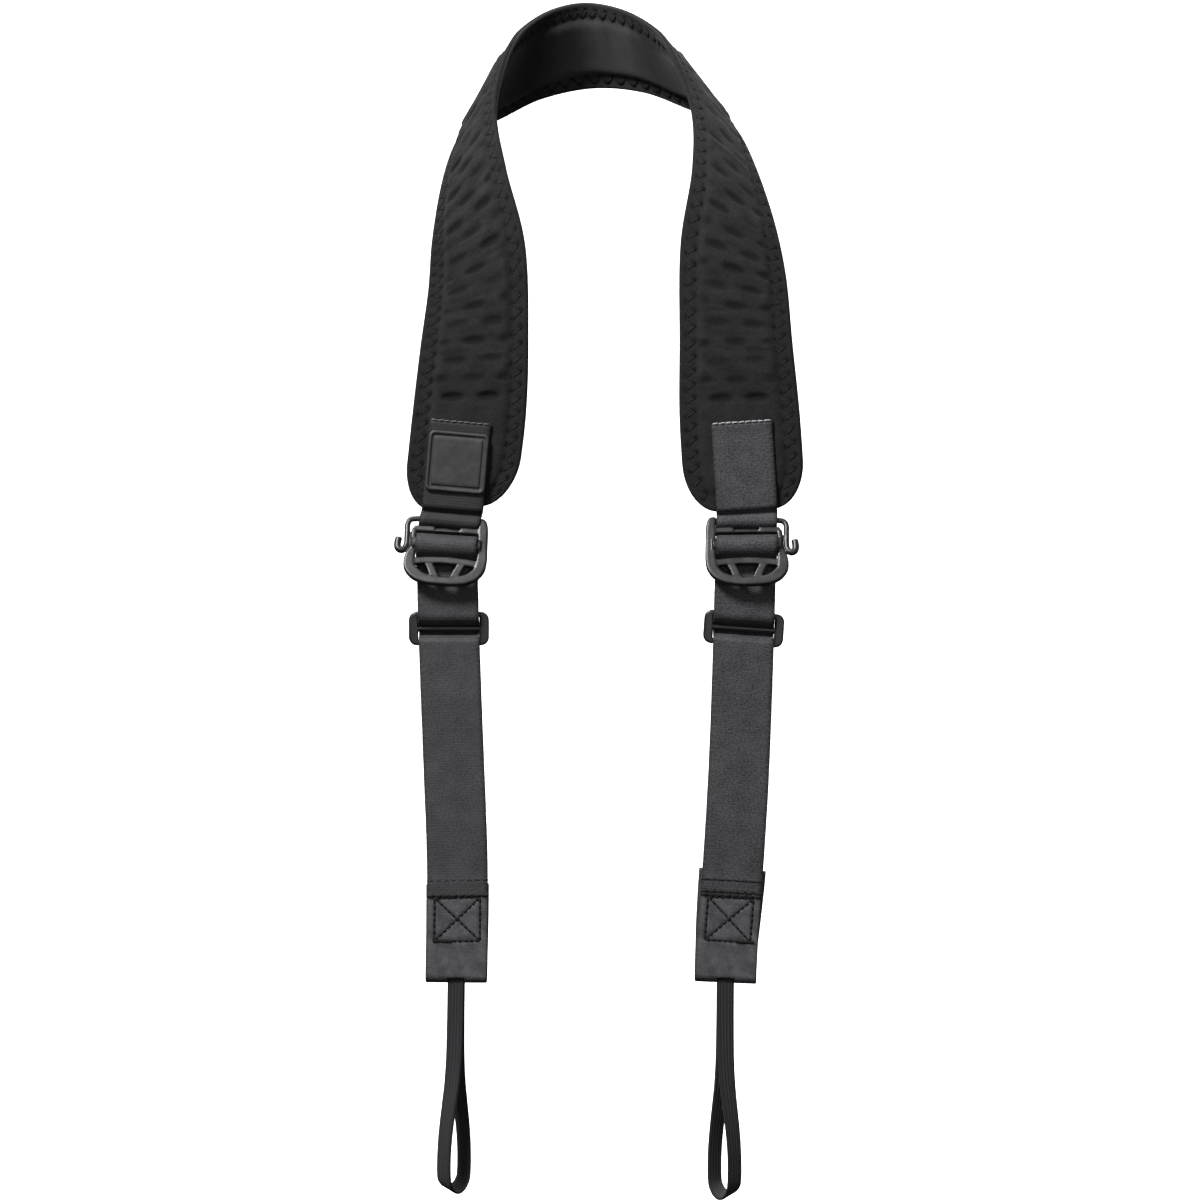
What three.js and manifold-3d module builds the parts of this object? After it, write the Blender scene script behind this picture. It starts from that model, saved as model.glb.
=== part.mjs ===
// Binocular harness strap: a padded neck collar whose two ends carry hook buckles,
// adjustable webbing straps, folded end tabs and tape loops for the binocular's lugs.
// Millimetres, +Z up, the front of the chest towards -Y. Left and right are as seen from the front.
// The origin is on the lining at the middle of the back, where the collar sits on the neck.
import * as THREE from "three";
import { mergeVertices } from "three/addons/utils/BufferGeometryUtils.js";
import Module from "manifold-3d";

const wasm = await Module();
wasm.setup();

// Webbing and the gap that neighbouring pieces keep
const WEBBING_WIDTH = 25;
const WEBBING_THICK = 1.2;
const SELVEDGE = 0.5;
const GAP = 0.3;

// Collar: one row for each section across it, from the left end round the neck to the right end.
// The neck edge lies against the neck, the outer edge points away from it.
const COLLAR_SECTIONS = [
  { at: "left end", neck: [-36.5, -90, -200], outer: [-83, -90, -204] },
  { at: "left leg low", neck: [-32, -90, -164], outer: [-79, -90, -166] },
  { at: "left leg middle", neck: [-31, -89, -133], outer: [-75.5, -88, -135.5] },
  { at: "left leg high", neck: [-32.5, -85, -92.5], outer: [-72.5, -84, -112] },
  { at: "left chest", neck: [-40.5, -75, -60.5], outer: [-71, -80, -91] },
  { at: "left front", neck: [-45, -58, -32.5], outer: [-67, -68, -66] },
  { at: "left shoulder", neck: [-38.8, -38, -4], outer: [-58.5, -36, -41.5] },
  { at: "left nape", neck: [-32, -22, 7], outer: [-45.5, -9, -32.5] },
  { at: "back", neck: [-8, -8.5, 17.5], outer: [-5, 13.5, -15.2] },
  { at: "right nape", neck: [20.5, -23, 5.8], outer: [37, -8, -27.8] },
  { at: "right shoulder", neck: [27, -38, -5], outer: [52.5, -38, -38] },
  { at: "right front", neck: [36.2, -58, -32.5], outer: [63, -69, -60] },
  { at: "right chest", neck: [36.5, -75, -60], outer: [70.8, -81, -85] },
  { at: "right leg high", neck: [31.5, -85, -92.5], outer: [75, -85, -106] },
  { at: "right leg middle", neck: [31, -89, -135], outer: [77.5, -89, -134] },
  { at: "right leg low", neck: [31, -90, -166], outer: [80.5, -90, -164] },
  { at: "right end", neck: [33.5, -90, -204], outer: [83, -90, -201.5] },
];
const COLLAR_HALF = 3.0;
const COLLAR_END_HALF = 2.15;
const COLLAR_EDGE_HALF = 1.3;
const LAYER_PARTING = -1.2;
const END_PARTING = -0.7;
const EDGE_PARTING = 0.05;
const LAYER_GAP = 0.6;
const BORDER = 7;
const BORDER_RISE = 2.5;
const BORDER_SHARE = 0.5;
const RISE_SHARE = 0.2;
const LINING_CROWN = 0.3;
const FLAT_END = 46;
const FLAT_BLEND = 14;
const CORNER_ACROSS = 13.5;
const CORNER_ALONG = 20;
const END_STEPS = [0, 0.4, 1.4, 3.2, 6, 10, 15, 20, 29, 38];

// Vent dents pressed into the collar's face, in staggered rows
const DENT_ROW = 7.7;
const DENT_DEPTH = 0.9;
const DENT_COLUMNS = 9;
const DENT_PITCH_COLUMNS = 6;

// Where each leg's pieces hang: height, sideways place and clockwise lean in degrees
const PLUMB = {
  left: [
    { at: "anchor hem", z: -166.5, x: -58.6, lean: 5 },
    { at: "collar end", z: -202.7, x: -62.2, lean: 4.8 },
    { at: "finger", z: -207.1, x: -63.3, lean: 4.2 },
    { at: "roll bar", z: -217.4, x: -64.5, lean: 3.6 },
    { at: "strap top", z: -235.5, x: -64, lean: 0.5 },
    { at: "slider", z: -251.3, x: -63.6, lean: 0 },
    { at: "strap middle", z: -305, x: -61.6, lean: -2 },
    { at: "strap low", z: -346, x: -60.1, lean: -1.5 },
    { at: "tab", z: -379, x: -60.2, lean: 0 },
    { at: "fold", z: -396.3, x: -60.5, lean: 0.5 },
    { at: "loop", z: -484, x: -61.6, lean: 0 },
  ],
  right: [
    { at: "anchor hem", z: -166.5, x: 56.4, lean: -3.6 },
    { at: "collar end", z: -202.7, x: 58.6, lean: -3.6 },
    { at: "finger", z: -207.1, x: 58.6, lean: -1.5 },
    { at: "roll bar", z: -217.4, x: 58.4, lean: -0.5 },
    { at: "strap top", z: -235.5, x: 57.7, lean: 2 },
    { at: "slider", z: -251.3, x: 57.3, lean: 4 },
    { at: "strap middle", z: -305, x: 55.4, lean: 3 },
    { at: "strap low", z: -346, x: 53, lean: 3.2 },
    { at: "tab", z: -379, x: 50.4, lean: 3 },
    { at: "fold", z: -396.3, x: 49.7, lean: 2.5 },
    { at: "loop", z: -484, x: 49.3, lean: 0 },
  ],
};

// Hook buckle, drawn flat with its roll bar at the origin and its outer side at +x
const BUCKLE_TILT = 24;
const BUCKLE_PLATE = 3;
const BUCKLE_BEVEL = 0.4;
const BUCKLE_REACH = 17;
const BUCKLE_OUTER_ARM = 14.9;
const BUCKLE_WINDOW = 13.3;
const BUCKLE_CORNER = 2.2;
const INNER_ARM_TOP = 12.6;
const INNER_ARM_REACH = 16.1;
const FINGER_HEIGHT = 11.3;
const FINGER_RADIUS = 1.1;
const GUARD_TOP = 8.05;
const GUARD_LOW = 5.75;
const GUARD_NOTCH = 5;
const GUARD_NOTCH_DEPTH = 1.1;
const ROLL_BAR_RADIUS = 2.9;
const ARC_BAR_TOP = -5.4;
const ARC_BAR_LOW = -8.5;
const ARC_BAR_BOW = 1.1;
const RIM_CENTRE = -7;
const RIM_LOW = -17.8;
const RIM_PULL = { innerSide: -12.8, innerLow: 8.5, outerLow: 11, outerSide: -14.6 };
const RIM_SHOULDER = { top: -4, low: -2 };
const RIM_INNER_DROP = 7.4;
const RIM_INNER_REACH = 13.1;
const STRUT_TOP = 5.6;
const STRUT_LOW = 3.4;
const STRUT_WIDTH = 2.4;
const SIDE_WINDOW_TOP = 11.9;
const SIDE_WINDOW_LOW = 10.9;

// Middle of the buckle's open finger: across the top from the inner arm, down the outer side
// and up again in a curled lip
const FINGER_LINE = [
  { at: "inner arm", x: -14.7, z: FINGER_HEIGHT },
  { at: "webbing's inner edge", x: -6, z: FINGER_HEIGHT },
  { at: "webbing's outer edge", x: 6, z: FINGER_HEIGHT },
  { at: "corner", x: 13.4, z: FINGER_HEIGHT },
  { at: "round the corner", x: 15.4, z: 10.8 },
  { at: "outer arm top", x: 16.3, z: 8.9 },
  { at: "outer arm middle", x: 16.3, z: 5.4 },
  { at: "outer arm low", x: 16.3, z: -1.2 },
  { at: "curl start", x: 17.3, z: -2.8 },
  { at: "curl bottom", x: 18.55, z: -3.2 },
  { at: "curl rise", x: 19.9, z: -2.2 },
  { at: "lip", x: 20.2, z: -0.4 },
  { at: "lip tip", x: 19.8, z: 2.4 },
];
const FINGER_STEPS = 20;

// Three-bar slider
const SLIDER_WIDTH = 33;
const SLIDER_HEIGHT = 14;
const SLIDER_PLATE = 2;
const SLIDER_CORNER = 3.4;
const SLIDER_RAIL = 2;
const SLIDER_CENTRE_BAR = 1.6;
const SLIDER_SLOT = 26.6;
const SLIDER_BEVEL = 0.35;

// Label patch, left bare
const PATCH_SIZE = 24.6;
const PATCH_CORNER = 2.2;
const PATCH_BASE = 1;
const PATCH_RIM = 2;
const PATCH_RIM_HEIGHT = 0.5;
const PATCH_RIM_ROOT = 0.2;
const PATCH_HEIGHT = -183.2;

// Anchors, end tabs and tape loops
const ANCHOR_HEM = -166.5;
const ANCHOR_BACK_END = -172;
const ANCHOR_BEND = 3;
const ANCHOR_EASE = 0.15;
const STRAP_END = -378;
const RAIL_HALF = 1.3;
const ROLL_EASE = 0.4;
const ARC_BAR_ROUTE = 2.6;
const EYE_EASE = 0.3;
const STRAP_TIP = { y: 1.6, z: -1.3 };
const BAND_STEP = 12;
const BEND_STEP = 24;
const TAB_THICK = 1.2;
const TAB_WIDTH = 25.3;
const TAB_FOLD_RADIUS = 2.7;
const TAB_TOP_SPREAD = 1.6;
const TAB_TOPS = { left: { front: -360.6, back: -356 }, right: { front: -360.6, back: -350 } };
const TAB_NOTCH = 4.2;
const TAPE_WIDTH = 7;
const TAPE_THICK = 1.2;
const TAPE_ROUND = 0.5;
const LOOP_STRETCH = { left: 1, right: 1.03 };

// Half a tape loop from inside the tab down to where its bottom bend starts:
// drop below the fold, half the distance between the strands, and the turn of the loop's plane
const LOOP_ROWS = [
  { drop: -5.5, spread: 1.18, turn: 0 },
  { drop: 2, spread: 1.18, turn: 4 },
  { drop: 18, spread: 1.3, turn: 8 },
  { drop: 32, spread: 1.9, turn: 16 },
  { drop: 42, spread: 3.1, turn: 24 },
  { drop: 51, spread: 4.6, turn: 30 },
  { drop: 60, spread: 5.9, turn: 34 },
  { drop: 69, spread: 6.6, turn: 36 },
  { drop: 78, spread: 6.6, turn: 36 },
];
const LOOP_BEND_STEPS = 8;

const radians = THREE.MathUtils.degToRad;
const SIDES = ["left", "right"];
const outwardSign = (side) => (side === "left" ? -1 : 1);

// Heights and depths that follow from the sizes above
const plumbRow = (side, name) => PLUMB[side].find((row) => row.at === name);
const LEG_Y = COLLAR_SECTIONS[0].neck[1];
const ROLL_Z = plumbRow("left", "roll bar").z;
const ROLL_Y = LEG_Y - FINGER_HEIGHT * Math.sin(radians(BUCKLE_TILT));
const FINGER_Z = ROLL_Z + FINGER_HEIGHT * Math.cos(radians(BUCKLE_TILT));
const COLLAR_END_Z = plumbRow("left", "collar end").z;
const SLIDER_Z = plumbRow("left", "slider").z;
const FOLD_Z = plumbRow("left", "fold").z;
const LAYER_STEP = WEBBING_THICK + GAP;
const RAIL_OFFSET = (SLIDER_HEIGHT - SLIDER_RAIL) / 2;
const RAIL_ROUTE = RAIL_HALF + GAP + WEBBING_THICK / 2;
const SLIDER_Y = ROLL_Y + LAYER_STEP / 2 + RAIL_ROUTE;
const STRAP_Y = SLIDER_Y - RAIL_ROUTE;
const ANCHOR_LIFT = COLLAR_END_HALF + GAP + ANCHOR_EASE + WEBBING_THICK / 2;

// Place and lean of a leg at a height, by a smooth curve through its rows
function plumbAt(side, z) {
  const rows = PLUMB[side];
  const last = rows.length - 2;
  let i = rows.findIndex((row) => row.z <= z) - 1;
  i = THREE.MathUtils.clamp(i < -1 ? last : i, 0, last);
  const span = rows[i + 1].z - rows[i].z;
  const t = THREE.MathUtils.clamp((z - rows[i].z) / span, 0, 1);
  const slope = (key, k) => {
    const before = rows[Math.max(k - 1, 0)];
    const after = rows[Math.min(k + 1, rows.length - 1)];
    return (after[key] - before[key]) / (after.z - before.z);
  };
  const hermite = (key) => {
    const a = rows[i][key];
    const b = rows[i + 1][key];
    const ma = slope(key, i) * span;
    const mb = slope(key, i + 1) * span;
    const rise = t * t * (3 - 2 * t);
    return a + (b - a) * rise + t * (1 - t) * ((1 - t) * ma - t * mb);
  };
  return { x: hermite("x"), lean: radians(hermite("lean")) };
}

// A point of a leg: across its width, at a depth and a height
function hang(side, across, y, z) {
  const { x, lean } = plumbAt(side, z);
  return new THREE.Vector3(x + across * Math.cos(lean), y, z - across * Math.sin(lean));
}

// Closed solid through rings of equally many points, with flat end caps
function loft(rings) {
  const count = rings[0].length;
  const positions = rings.flat().flatMap((point) => point.toArray());
  const triangles = [];
  for (let r = 0; r + 1 < rings.length; r += 1) {
    for (let i = 0; i < count; i += 1) {
      const j = (i + 1) % count;
      const [a, b] = [r * count + i, r * count + j];
      const [c, d] = [a + count, b + count];
      triangles.push([a, b, d], [a, d, c]);
    }
  }
  const capAt = (r) => capTriangles(rings[r]).map((face) => face.map((i) => r * count + i));
  triangles.push(...capAt(0).map(([a, b, c]) => [a, c, b]), ...capAt(rings.length - 1));
  const outward = signedVolume(positions, triangles) > 0;
  const faces = outward ? triangles : triangles.map(([a, b, c]) => [a, c, b]);
  return meshGeometry(positions, faces.flat());
}

// Triangles of a flat ring, turning the same way as the ring does
function capTriangles(ring) {
  const normal = new THREE.Vector3();
  ring.forEach((point, i) => {
    normal.add(new THREE.Vector3().crossVectors(point, ring[(i + 1) % ring.length]));
  });
  normal.normalize();
  const along = ring[Math.floor(ring.length / 2)].clone().sub(ring[0]);
  along.addScaledVector(normal, -along.dot(normal)).normalize();
  const up = new THREE.Vector3().crossVectors(normal, along);
  const flat = ring.map((point) => new THREE.Vector2(point.dot(along), point.dot(up)));
  return THREE.ShapeUtils.triangulateShape(flat, []);
}

function signedVolume(positions, triangles) {
  const at = (i) => new THREE.Vector3().fromArray(positions, i * 3);
  return triangles.reduce((sum, [a, b, c]) => sum + at(a).dot(at(b).cross(at(c))), 0) / 6;
}

function meshGeometry(positions, index) {
  const geometry = new THREE.BufferGeometry();
  geometry.setAttribute("position", new THREE.Float32BufferAttribute(positions, 3));
  geometry.setIndex(Array.from(index));
  geometry.computeVertexNormals();
  return geometry;
}

// Joining and cutting closed solids
function solidOf(geometry) {
  const bare = geometry.clone();
  bare.deleteAttribute("normal");
  bare.deleteAttribute("uv");
  const merged = mergeVertices(bare, 1e-4);
  return new wasm.Manifold(
    new wasm.Mesh({
      numProp: 3,
      vertProperties: new Float32Array(merged.attributes.position.array),
      triVerts: new Uint32Array(merged.index.array),
    }),
  );
}

function geometryOf(solid) {
  const mesh = solid.getMesh();
  return meshGeometry(Array.from(mesh.vertProperties), mesh.triVerts);
}

function joined(geometries) {
  return geometryOf(geometries.map(solidOf).reduce((all, next) => all.add(next)));
}

function cutBy(geometry, tool) {
  return geometryOf(solidOf(geometry).subtract(solidOf(tool)));
}

// Upright plate drawn in X and Z, its thickness centred on Y
function plate(shape, thick, bevel, curveSegments) {
  const geometry = new THREE.ExtrudeGeometry(shape, {
    depth: thick - 2 * bevel,
    steps: 1,
    curveSegments,
    bevelEnabled: bevel > 0,
    bevelThickness: bevel,
    bevelSize: bevel,
    bevelOffset: -bevel,
    bevelSegments: 1,
  });
  geometry.translate(0, 0, bevel - thick / 2);
  return geometry.rotateX(Math.PI / 2);
}

function roundedRectangle(width, height, corner) {
  const [w, h] = [width / 2, height / 2];
  const shape = new THREE.Shape();
  shape.absarc(w - corner, h - corner, corner, 0, Math.PI / 2);
  shape.absarc(corner - w, h - corner, corner, Math.PI / 2, Math.PI);
  shape.absarc(corner - w, corner - h, corner, Math.PI, 1.5 * Math.PI);
  shape.absarc(w - corner, corner - h, corner, 1.5 * Math.PI, 2 * Math.PI);
  return shape;
}

function rectangleHole(left, right, low, high) {
  const corners = [[left, low], [left, high], [right, high], [right, low]];
  return new THREE.Path(corners.map(([x, y]) => new THREE.Vector2(x, y)));
}

// Route of a band past a row of bars, seen from the side: straight runs that touch each bar's
// circle, and an arc round it. turn is 1 where the bar is on the band's left, -1 on its right.
function routePastBars(start, bars, finish) {
  const stops = [{ ...start, radius: 0, turn: 1 }, ...bars, { ...finish, radius: 0, turn: 1 }];
  const headings = stops.slice(1).map((next, i) => {
    const here = stops[i];
    const [dy, dz] = [next.y - here.y, next.z - here.z];
    const offset = next.turn * next.radius - here.turn * here.radius;
    return Math.atan2(dz, dy) - Math.asin(offset / Math.hypot(dy, dz));
  });
  const pointOn = (stop, heading) => {
    const across = { y: -Math.sin(heading), z: Math.cos(heading) };
    const reach = stop.turn * stop.radius;
    return { y: stop.y - reach * across.y, z: stop.z - reach * across.z, across };
  };
  const route = [pointOn(stops[0], headings[0])];
  bars.forEach((bar, i) => {
    const into = headings[i];
    const change = bar.turn * (headings[i + 1] - into);
    const sweep = bar.turn * THREE.MathUtils.euclideanModulo(change, 2 * Math.PI);
    const steps = Math.max(1, Math.ceil(Math.abs(sweep) / radians(BEND_STEP)));
    for (let k = 0; k <= steps; k += 1) {
      route.push(pointOn(bar, into + (sweep * k) / steps));
    }
  });
  route.push(pointOn(stops.at(-1), headings.at(-1)));
  return route;
}

// Long straight runs get a point every few millimetres, so that a leg can bend sideways
function subdivided(route) {
  return route.flatMap((here, i) => {
    const next = route[i + 1];
    if (!next) {
      return [here];
    }
    const steps = Math.ceil(Math.hypot(next.y - here.y, next.z - here.z) / BAND_STEP);
    const mix = (k) => ({
      y: here.y + ((next.y - here.y) * k) / steps,
      z: here.z + ((next.z - here.z) * k) / steps,
      across: here.across,
    });
    return Array.from({ length: Math.max(steps, 1) }, (_, k) => (k === 0 ? here : mix(k)));
  });
}

// Flat band with rounded selvedges along a route of one leg
function band(side, route, width, thick) {
  const [w, h] = [width / 2, thick / 2];
  const flat = w - SELVEDGE;
  const section = [[-w, 0], [-flat, h], [flat, h], [w, 0], [flat, -h], [-flat, -h]];
  return loft(
    subdivided(route).map((point) =>
      section.map(([across, lift]) =>
        hang(side, across, point.y + lift * point.across.y, point.z + lift * point.across.z),
      ),
    ),
  );
}

// Collar: the middle surface is ruled between two smooth edges
const edgeCurve = (key) =>
  new THREE.CatmullRomCurve3(
    COLLAR_SECTIONS.map((row) => new THREE.Vector3(...row[key])),
    false,
    "centripetal",
  );
const NECK_EDGE = edgeCurve("neck");
const OUTER_EDGE = edgeCurve("outer");
const COLLAR_SAMPLES = 400;
const collarMiddle = (t) => NECK_EDGE.getPoint(t).lerp(OUTER_EDGE.getPoint(t), 0.5);
const COLLAR_LENGTHS = [0];
for (let i = 1; i <= COLLAR_SAMPLES; i += 1) {
  const step = collarMiddle(i / COLLAR_SAMPLES).distanceTo(collarMiddle((i - 1) / COLLAR_SAMPLES));
  COLLAR_LENGTHS.push(COLLAR_LENGTHS[i - 1] + step);
}
const COLLAR_LENGTH = COLLAR_LENGTHS.at(-1);

// The collar's middle, directions and half width at a length along it
function collarAt(length) {
  const above = COLLAR_LENGTHS.findIndex((value) => value >= length);
  const i = Math.max(above < 0 ? COLLAR_SAMPLES : above, 1);
  const part = (length - COLLAR_LENGTHS[i - 1]) / (COLLAR_LENGTHS[i] - COLLAR_LENGTHS[i - 1]);
  const t = THREE.MathUtils.clamp((i - 1 + part) / COLLAR_SAMPLES, 0, 1);
  const neck = NECK_EDGE.getPoint(t);
  const across = OUTER_EDGE.getPoint(t).sub(neck);
  const half = across.length() / 2;
  const middle = neck.clone().addScaledVector(across, 0.5);
  across.normalize();
  const ahead = collarMiddle(Math.min(t + 2e-3, 1)).sub(collarMiddle(Math.max(t - 2e-3, 0)));
  const out = new THREE.Vector3().crossVectors(ahead, across).normalize();
  const fromEnd = Math.min(length, COLLAR_LENGTH - length);
  const corner = Math.max(1 - fromEnd / CORNER_ALONG, 0);
  const inset = CORNER_ACROSS * (1 - Math.sqrt(1 - corner * corner));
  const body = THREE.MathUtils.smoothstep(fromEnd, FLAT_END, FLAT_END + FLAT_BLEND);
  return { middle, across, out, half: half - inset, body };
}

// Lengths at which the collar has a ring: close at its round ends, then two to each row of dents
function collarStations() {
  const dented = COLLAR_LENGTH - 2 * FLAT_END;
  const count = 4 * Math.round(dented / (2 * DENT_ROW));
  const rows = Array.from({ length: count + 1 }, (_, row) => {
    return { length: FLAT_END + (row * dented) / count, row };
  });
  const end = END_STEPS.map((length) => ({ length, row: -1 }));
  const farEnd = end.map(({ length }) => ({ length: COLLAR_LENGTH - length, row: -1 })).reverse();
  return [...end, ...rows, ...farEnd];
}

function collarRing(section, profile) {
  return profile.map(([across, lift]) =>
    section.middle.clone().addScaledVector(section.across, across).addScaledVector(section.out, lift),
  );
}

// How deep the face is pressed in at one column of a station
function dentAt(station, column, body) {
  if (station.row < 0 || station.row % 2 === 1) {
    return 0;
  }
  const shift = station.row % 4 === 0 ? DENT_PITCH_COLUMNS / 2 : 0;
  const place = THREE.MathUtils.euclideanModulo(column - shift, DENT_PITCH_COLUMNS);
  const away = Math.min(place, DENT_PITCH_COLUMNS - place);
  return DENT_DEPTH * body * Math.max(0, 1 - (away * away) / 4);
}

// Sizes that both layers share at a station: the sewn border's width, the padded part's half width
// and half thickness, and the height at which the layers part
function collarSizes({ half, body }) {
  const seam = Math.min(BORDER, half * BORDER_SHARE);
  const inner = half - seam - Math.min(BORDER_RISE, half * RISE_SHARE);
  const crown = THREE.MathUtils.lerp(COLLAR_END_HALF, COLLAR_HALF, body);
  const parting = THREE.MathUtils.lerp(END_PARTING, LAYER_PARTING, body);
  return { seam, inner, crown, parting };
}

function collarFace() {
  const columns = (DENT_COLUMNS - 1) / 2;
  const rings = collarStations().map((station) => {
    const section = collarAt(station.length);
    const { half, body } = section;
    const { seam, inner, crown, parting } = collarSizes(section);
    const middle = Array.from({ length: DENT_COLUMNS }, (_, k) => {
      const column = k - columns;
      return [(inner * column) / columns, crown - dentAt(station, column, body)];
    });
    const edge = [[-half, COLLAR_EDGE_HALF], [seam - half, COLLAR_EDGE_HALF]];
    const farEdge = edge.map(([across, lift]) => [-across, lift]).reverse();
    const under = [[half, EDGE_PARTING], [inner, parting], [-inner, parting], [-half, EDGE_PARTING]];
    return collarRing(section, [...edge, ...middle, ...farEdge, ...under]);
  });
  return loft(rings);
}

function collarLining() {
  const everyOther = collarStations().filter((_, i) => i % 2 === 0);
  const rings = everyOther.map((station) => {
    const section = collarAt(station.length);
    const { half } = section;
    const { seam, inner, crown, parting } = collarSizes(section);
    const low = parting - LAYER_GAP;
    const rim = EDGE_PARTING - LAYER_GAP;
    const over = [[-half, rim], [-inner, low], [inner, low], [half, rim]];
    const border = -COLLAR_EDGE_HALF - LINING_CROWN;
    const under = [[half, -COLLAR_EDGE_HALF], [half - seam, border], [inner, -crown]];
    const farUnder = under.map(([across, lift]) => [-across, lift]).reverse();
    return collarRing(section, [...over, ...under, ...farUnder]);
  });
  return loft(rings);
}

// Webbing sewn on the collar's end, down round the buckle's finger and up behind
function anchorWebbing(side) {
  const reach = ANCHOR_LIFT - ANCHOR_BEND;
  const round = FINGER_RADIUS + GAP + WEBBING_THICK / 2;
  const front = { y: LEG_Y - reach, z: COLLAR_END_Z, radius: ANCHOR_BEND, turn: 1 };
  const back = { y: LEG_Y + reach, z: COLLAR_END_Z, radius: ANCHOR_BEND, turn: 1 };
  const finger = { y: LEG_Y, z: FINGER_Z, radius: round, turn: 1 };
  const route = routePastBars(
    { y: LEG_Y - ANCHOR_LIFT, z: ANCHOR_HEM },
    [front, finger, back],
    { y: LEG_Y + ANCHOR_LIFT, z: ANCHOR_BACK_END },
  );
  return band(side, route, WEBBING_WIDTH, WEBBING_THICK);
}

// Strap: from inside the tab up through the slider, over the buckle's roll bar, down over the
// slider's top rail and in behind its centre bar, where it ends
function strapWebbing(side) {
  const tilt = radians(BUCKLE_TILT);
  const arc = (ARC_BAR_TOP + ARC_BAR_LOW) / 2;
  const eye = SLIDER_CENTRE_BAR / 2 + GAP + EYE_EASE + WEBBING_THICK / 2;
  const roller = ROLL_BAR_RADIUS + ROLL_EASE + WEBBING_THICK / 2;
  const low = { y: SLIDER_Y, z: SLIDER_Z - RAIL_OFFSET, radius: RAIL_ROUTE, turn: -1 };
  const behind = { y: SLIDER_Y, z: SLIDER_Z, radius: eye + LAYER_STEP, turn: 1 };
  const high = { y: SLIDER_Y, z: SLIDER_Z + RAIL_OFFSET, radius: RAIL_ROUTE, turn: -1 };
  const roll = { y: ROLL_Y, z: ROLL_Z, radius: roller, turn: 1 };
  const bar = {
    y: ROLL_Y + arc * Math.sin(tilt),
    z: ROLL_Z + arc * Math.cos(tilt),
    radius: ARC_BAR_ROUTE,
    turn: -1,
  };
  const over = { y: SLIDER_Y, z: high.z, radius: RAIL_ROUTE + LAYER_STEP, turn: 1 };
  const inside = { y: SLIDER_Y, z: SLIDER_Z, radius: eye, turn: -1 };
  const route = routePastBars(
    { y: STRAP_Y, z: STRAP_END },
    [low, behind, high, roll, bar, over, inside],
    { y: SLIDER_Y + STRAP_TIP.y, z: SLIDER_Z + STRAP_TIP.z },
  );
  return band(side, route, WEBBING_WIDTH, WEBBING_THICK);
}

// Tab folded round the end of the strap, with a half-round notch for the tape loop
function endTab(side) {
  const foldZ = FOLD_Z + TAB_FOLD_RADIUS + TAB_THICK / 2;
  const fold = { y: STRAP_Y, z: foldZ, radius: TAB_FOLD_RADIUS, turn: 1 };
  const tops = TAB_TOPS[side];
  const route = routePastBars(
    { y: STRAP_Y - TAB_TOP_SPREAD, z: tops.front },
    [fold],
    { y: STRAP_Y + TAB_TOP_SPREAD, z: tops.back },
  );
  const tab = band(side, route, TAB_WIDTH, TAB_THICK);
  const { x } = plumbAt(side, FOLD_Z);
  const notch = new THREE.CylinderGeometry(TAB_NOTCH, TAB_NOTCH, 4 * TAB_FOLD_RADIUS, 16);
  notch.translate(x, STRAP_Y, FOLD_Z);
  return cutBy(tab, notch);
}

// Tape loop: two strands one behind the other in the tab, parting and turning on the way down
function tapeLoop(side) {
  const sign = outwardSign(side);
  const stretch = LOOP_STRETCH[side];
  const { drop: low, spread: reach, turn: lastTurn } = LOOP_ROWS.at(-1);
  const bend = Array.from({ length: LOOP_BEND_STEPS - 1 }, (_, k) => {
    const angle = ((k + 1) * Math.PI) / LOOP_BEND_STEPS;
    return { drop: low + reach * Math.sin(angle), spread: reach * Math.cos(angle), turn: lastTurn };
  });
  const back = LOOP_ROWS.map((row) => ({ ...row, spread: -row.spread })).reverse();
  const places = [...LOOP_ROWS, ...bend, ...back].map(({ drop, spread, turn }) => {
    const z = FOLD_Z - Math.max(drop * stretch, drop);
    const angle = radians(turn);
    const apart = new THREE.Vector3(sign * Math.sin(angle), -Math.cos(angle), 0);
    const wide = new THREE.Vector3(sign * Math.cos(angle), Math.sin(angle), 0);
    const middle = new THREE.Vector3(plumbAt(side, z).x, STRAP_Y, z).addScaledVector(apart, spread);
    return { middle, wide };
  });
  const [w, h] = [TAPE_WIDTH / 2, TAPE_THICK / 2];
  const [cw, ch] = [w - TAPE_ROUND, h / 2];
  const section = [[-w, ch], [-cw, h], [cw, h], [w, ch], [w, -ch], [cw, -h], [-cw, -h], [-w, -ch]];
  const rings = places.map(({ middle, wide }, i) => {
    const before = places[Math.max(i - 1, 0)].middle;
    const after = places[Math.min(i + 1, places.length - 1)].middle;
    const flat = after.clone().sub(before).cross(wide).normalize();
    return section.map(([across, lift]) =>
      middle.clone().addScaledVector(wide, across).addScaledVector(flat, lift),
    );
  });
  return loft(rings);
}

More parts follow.
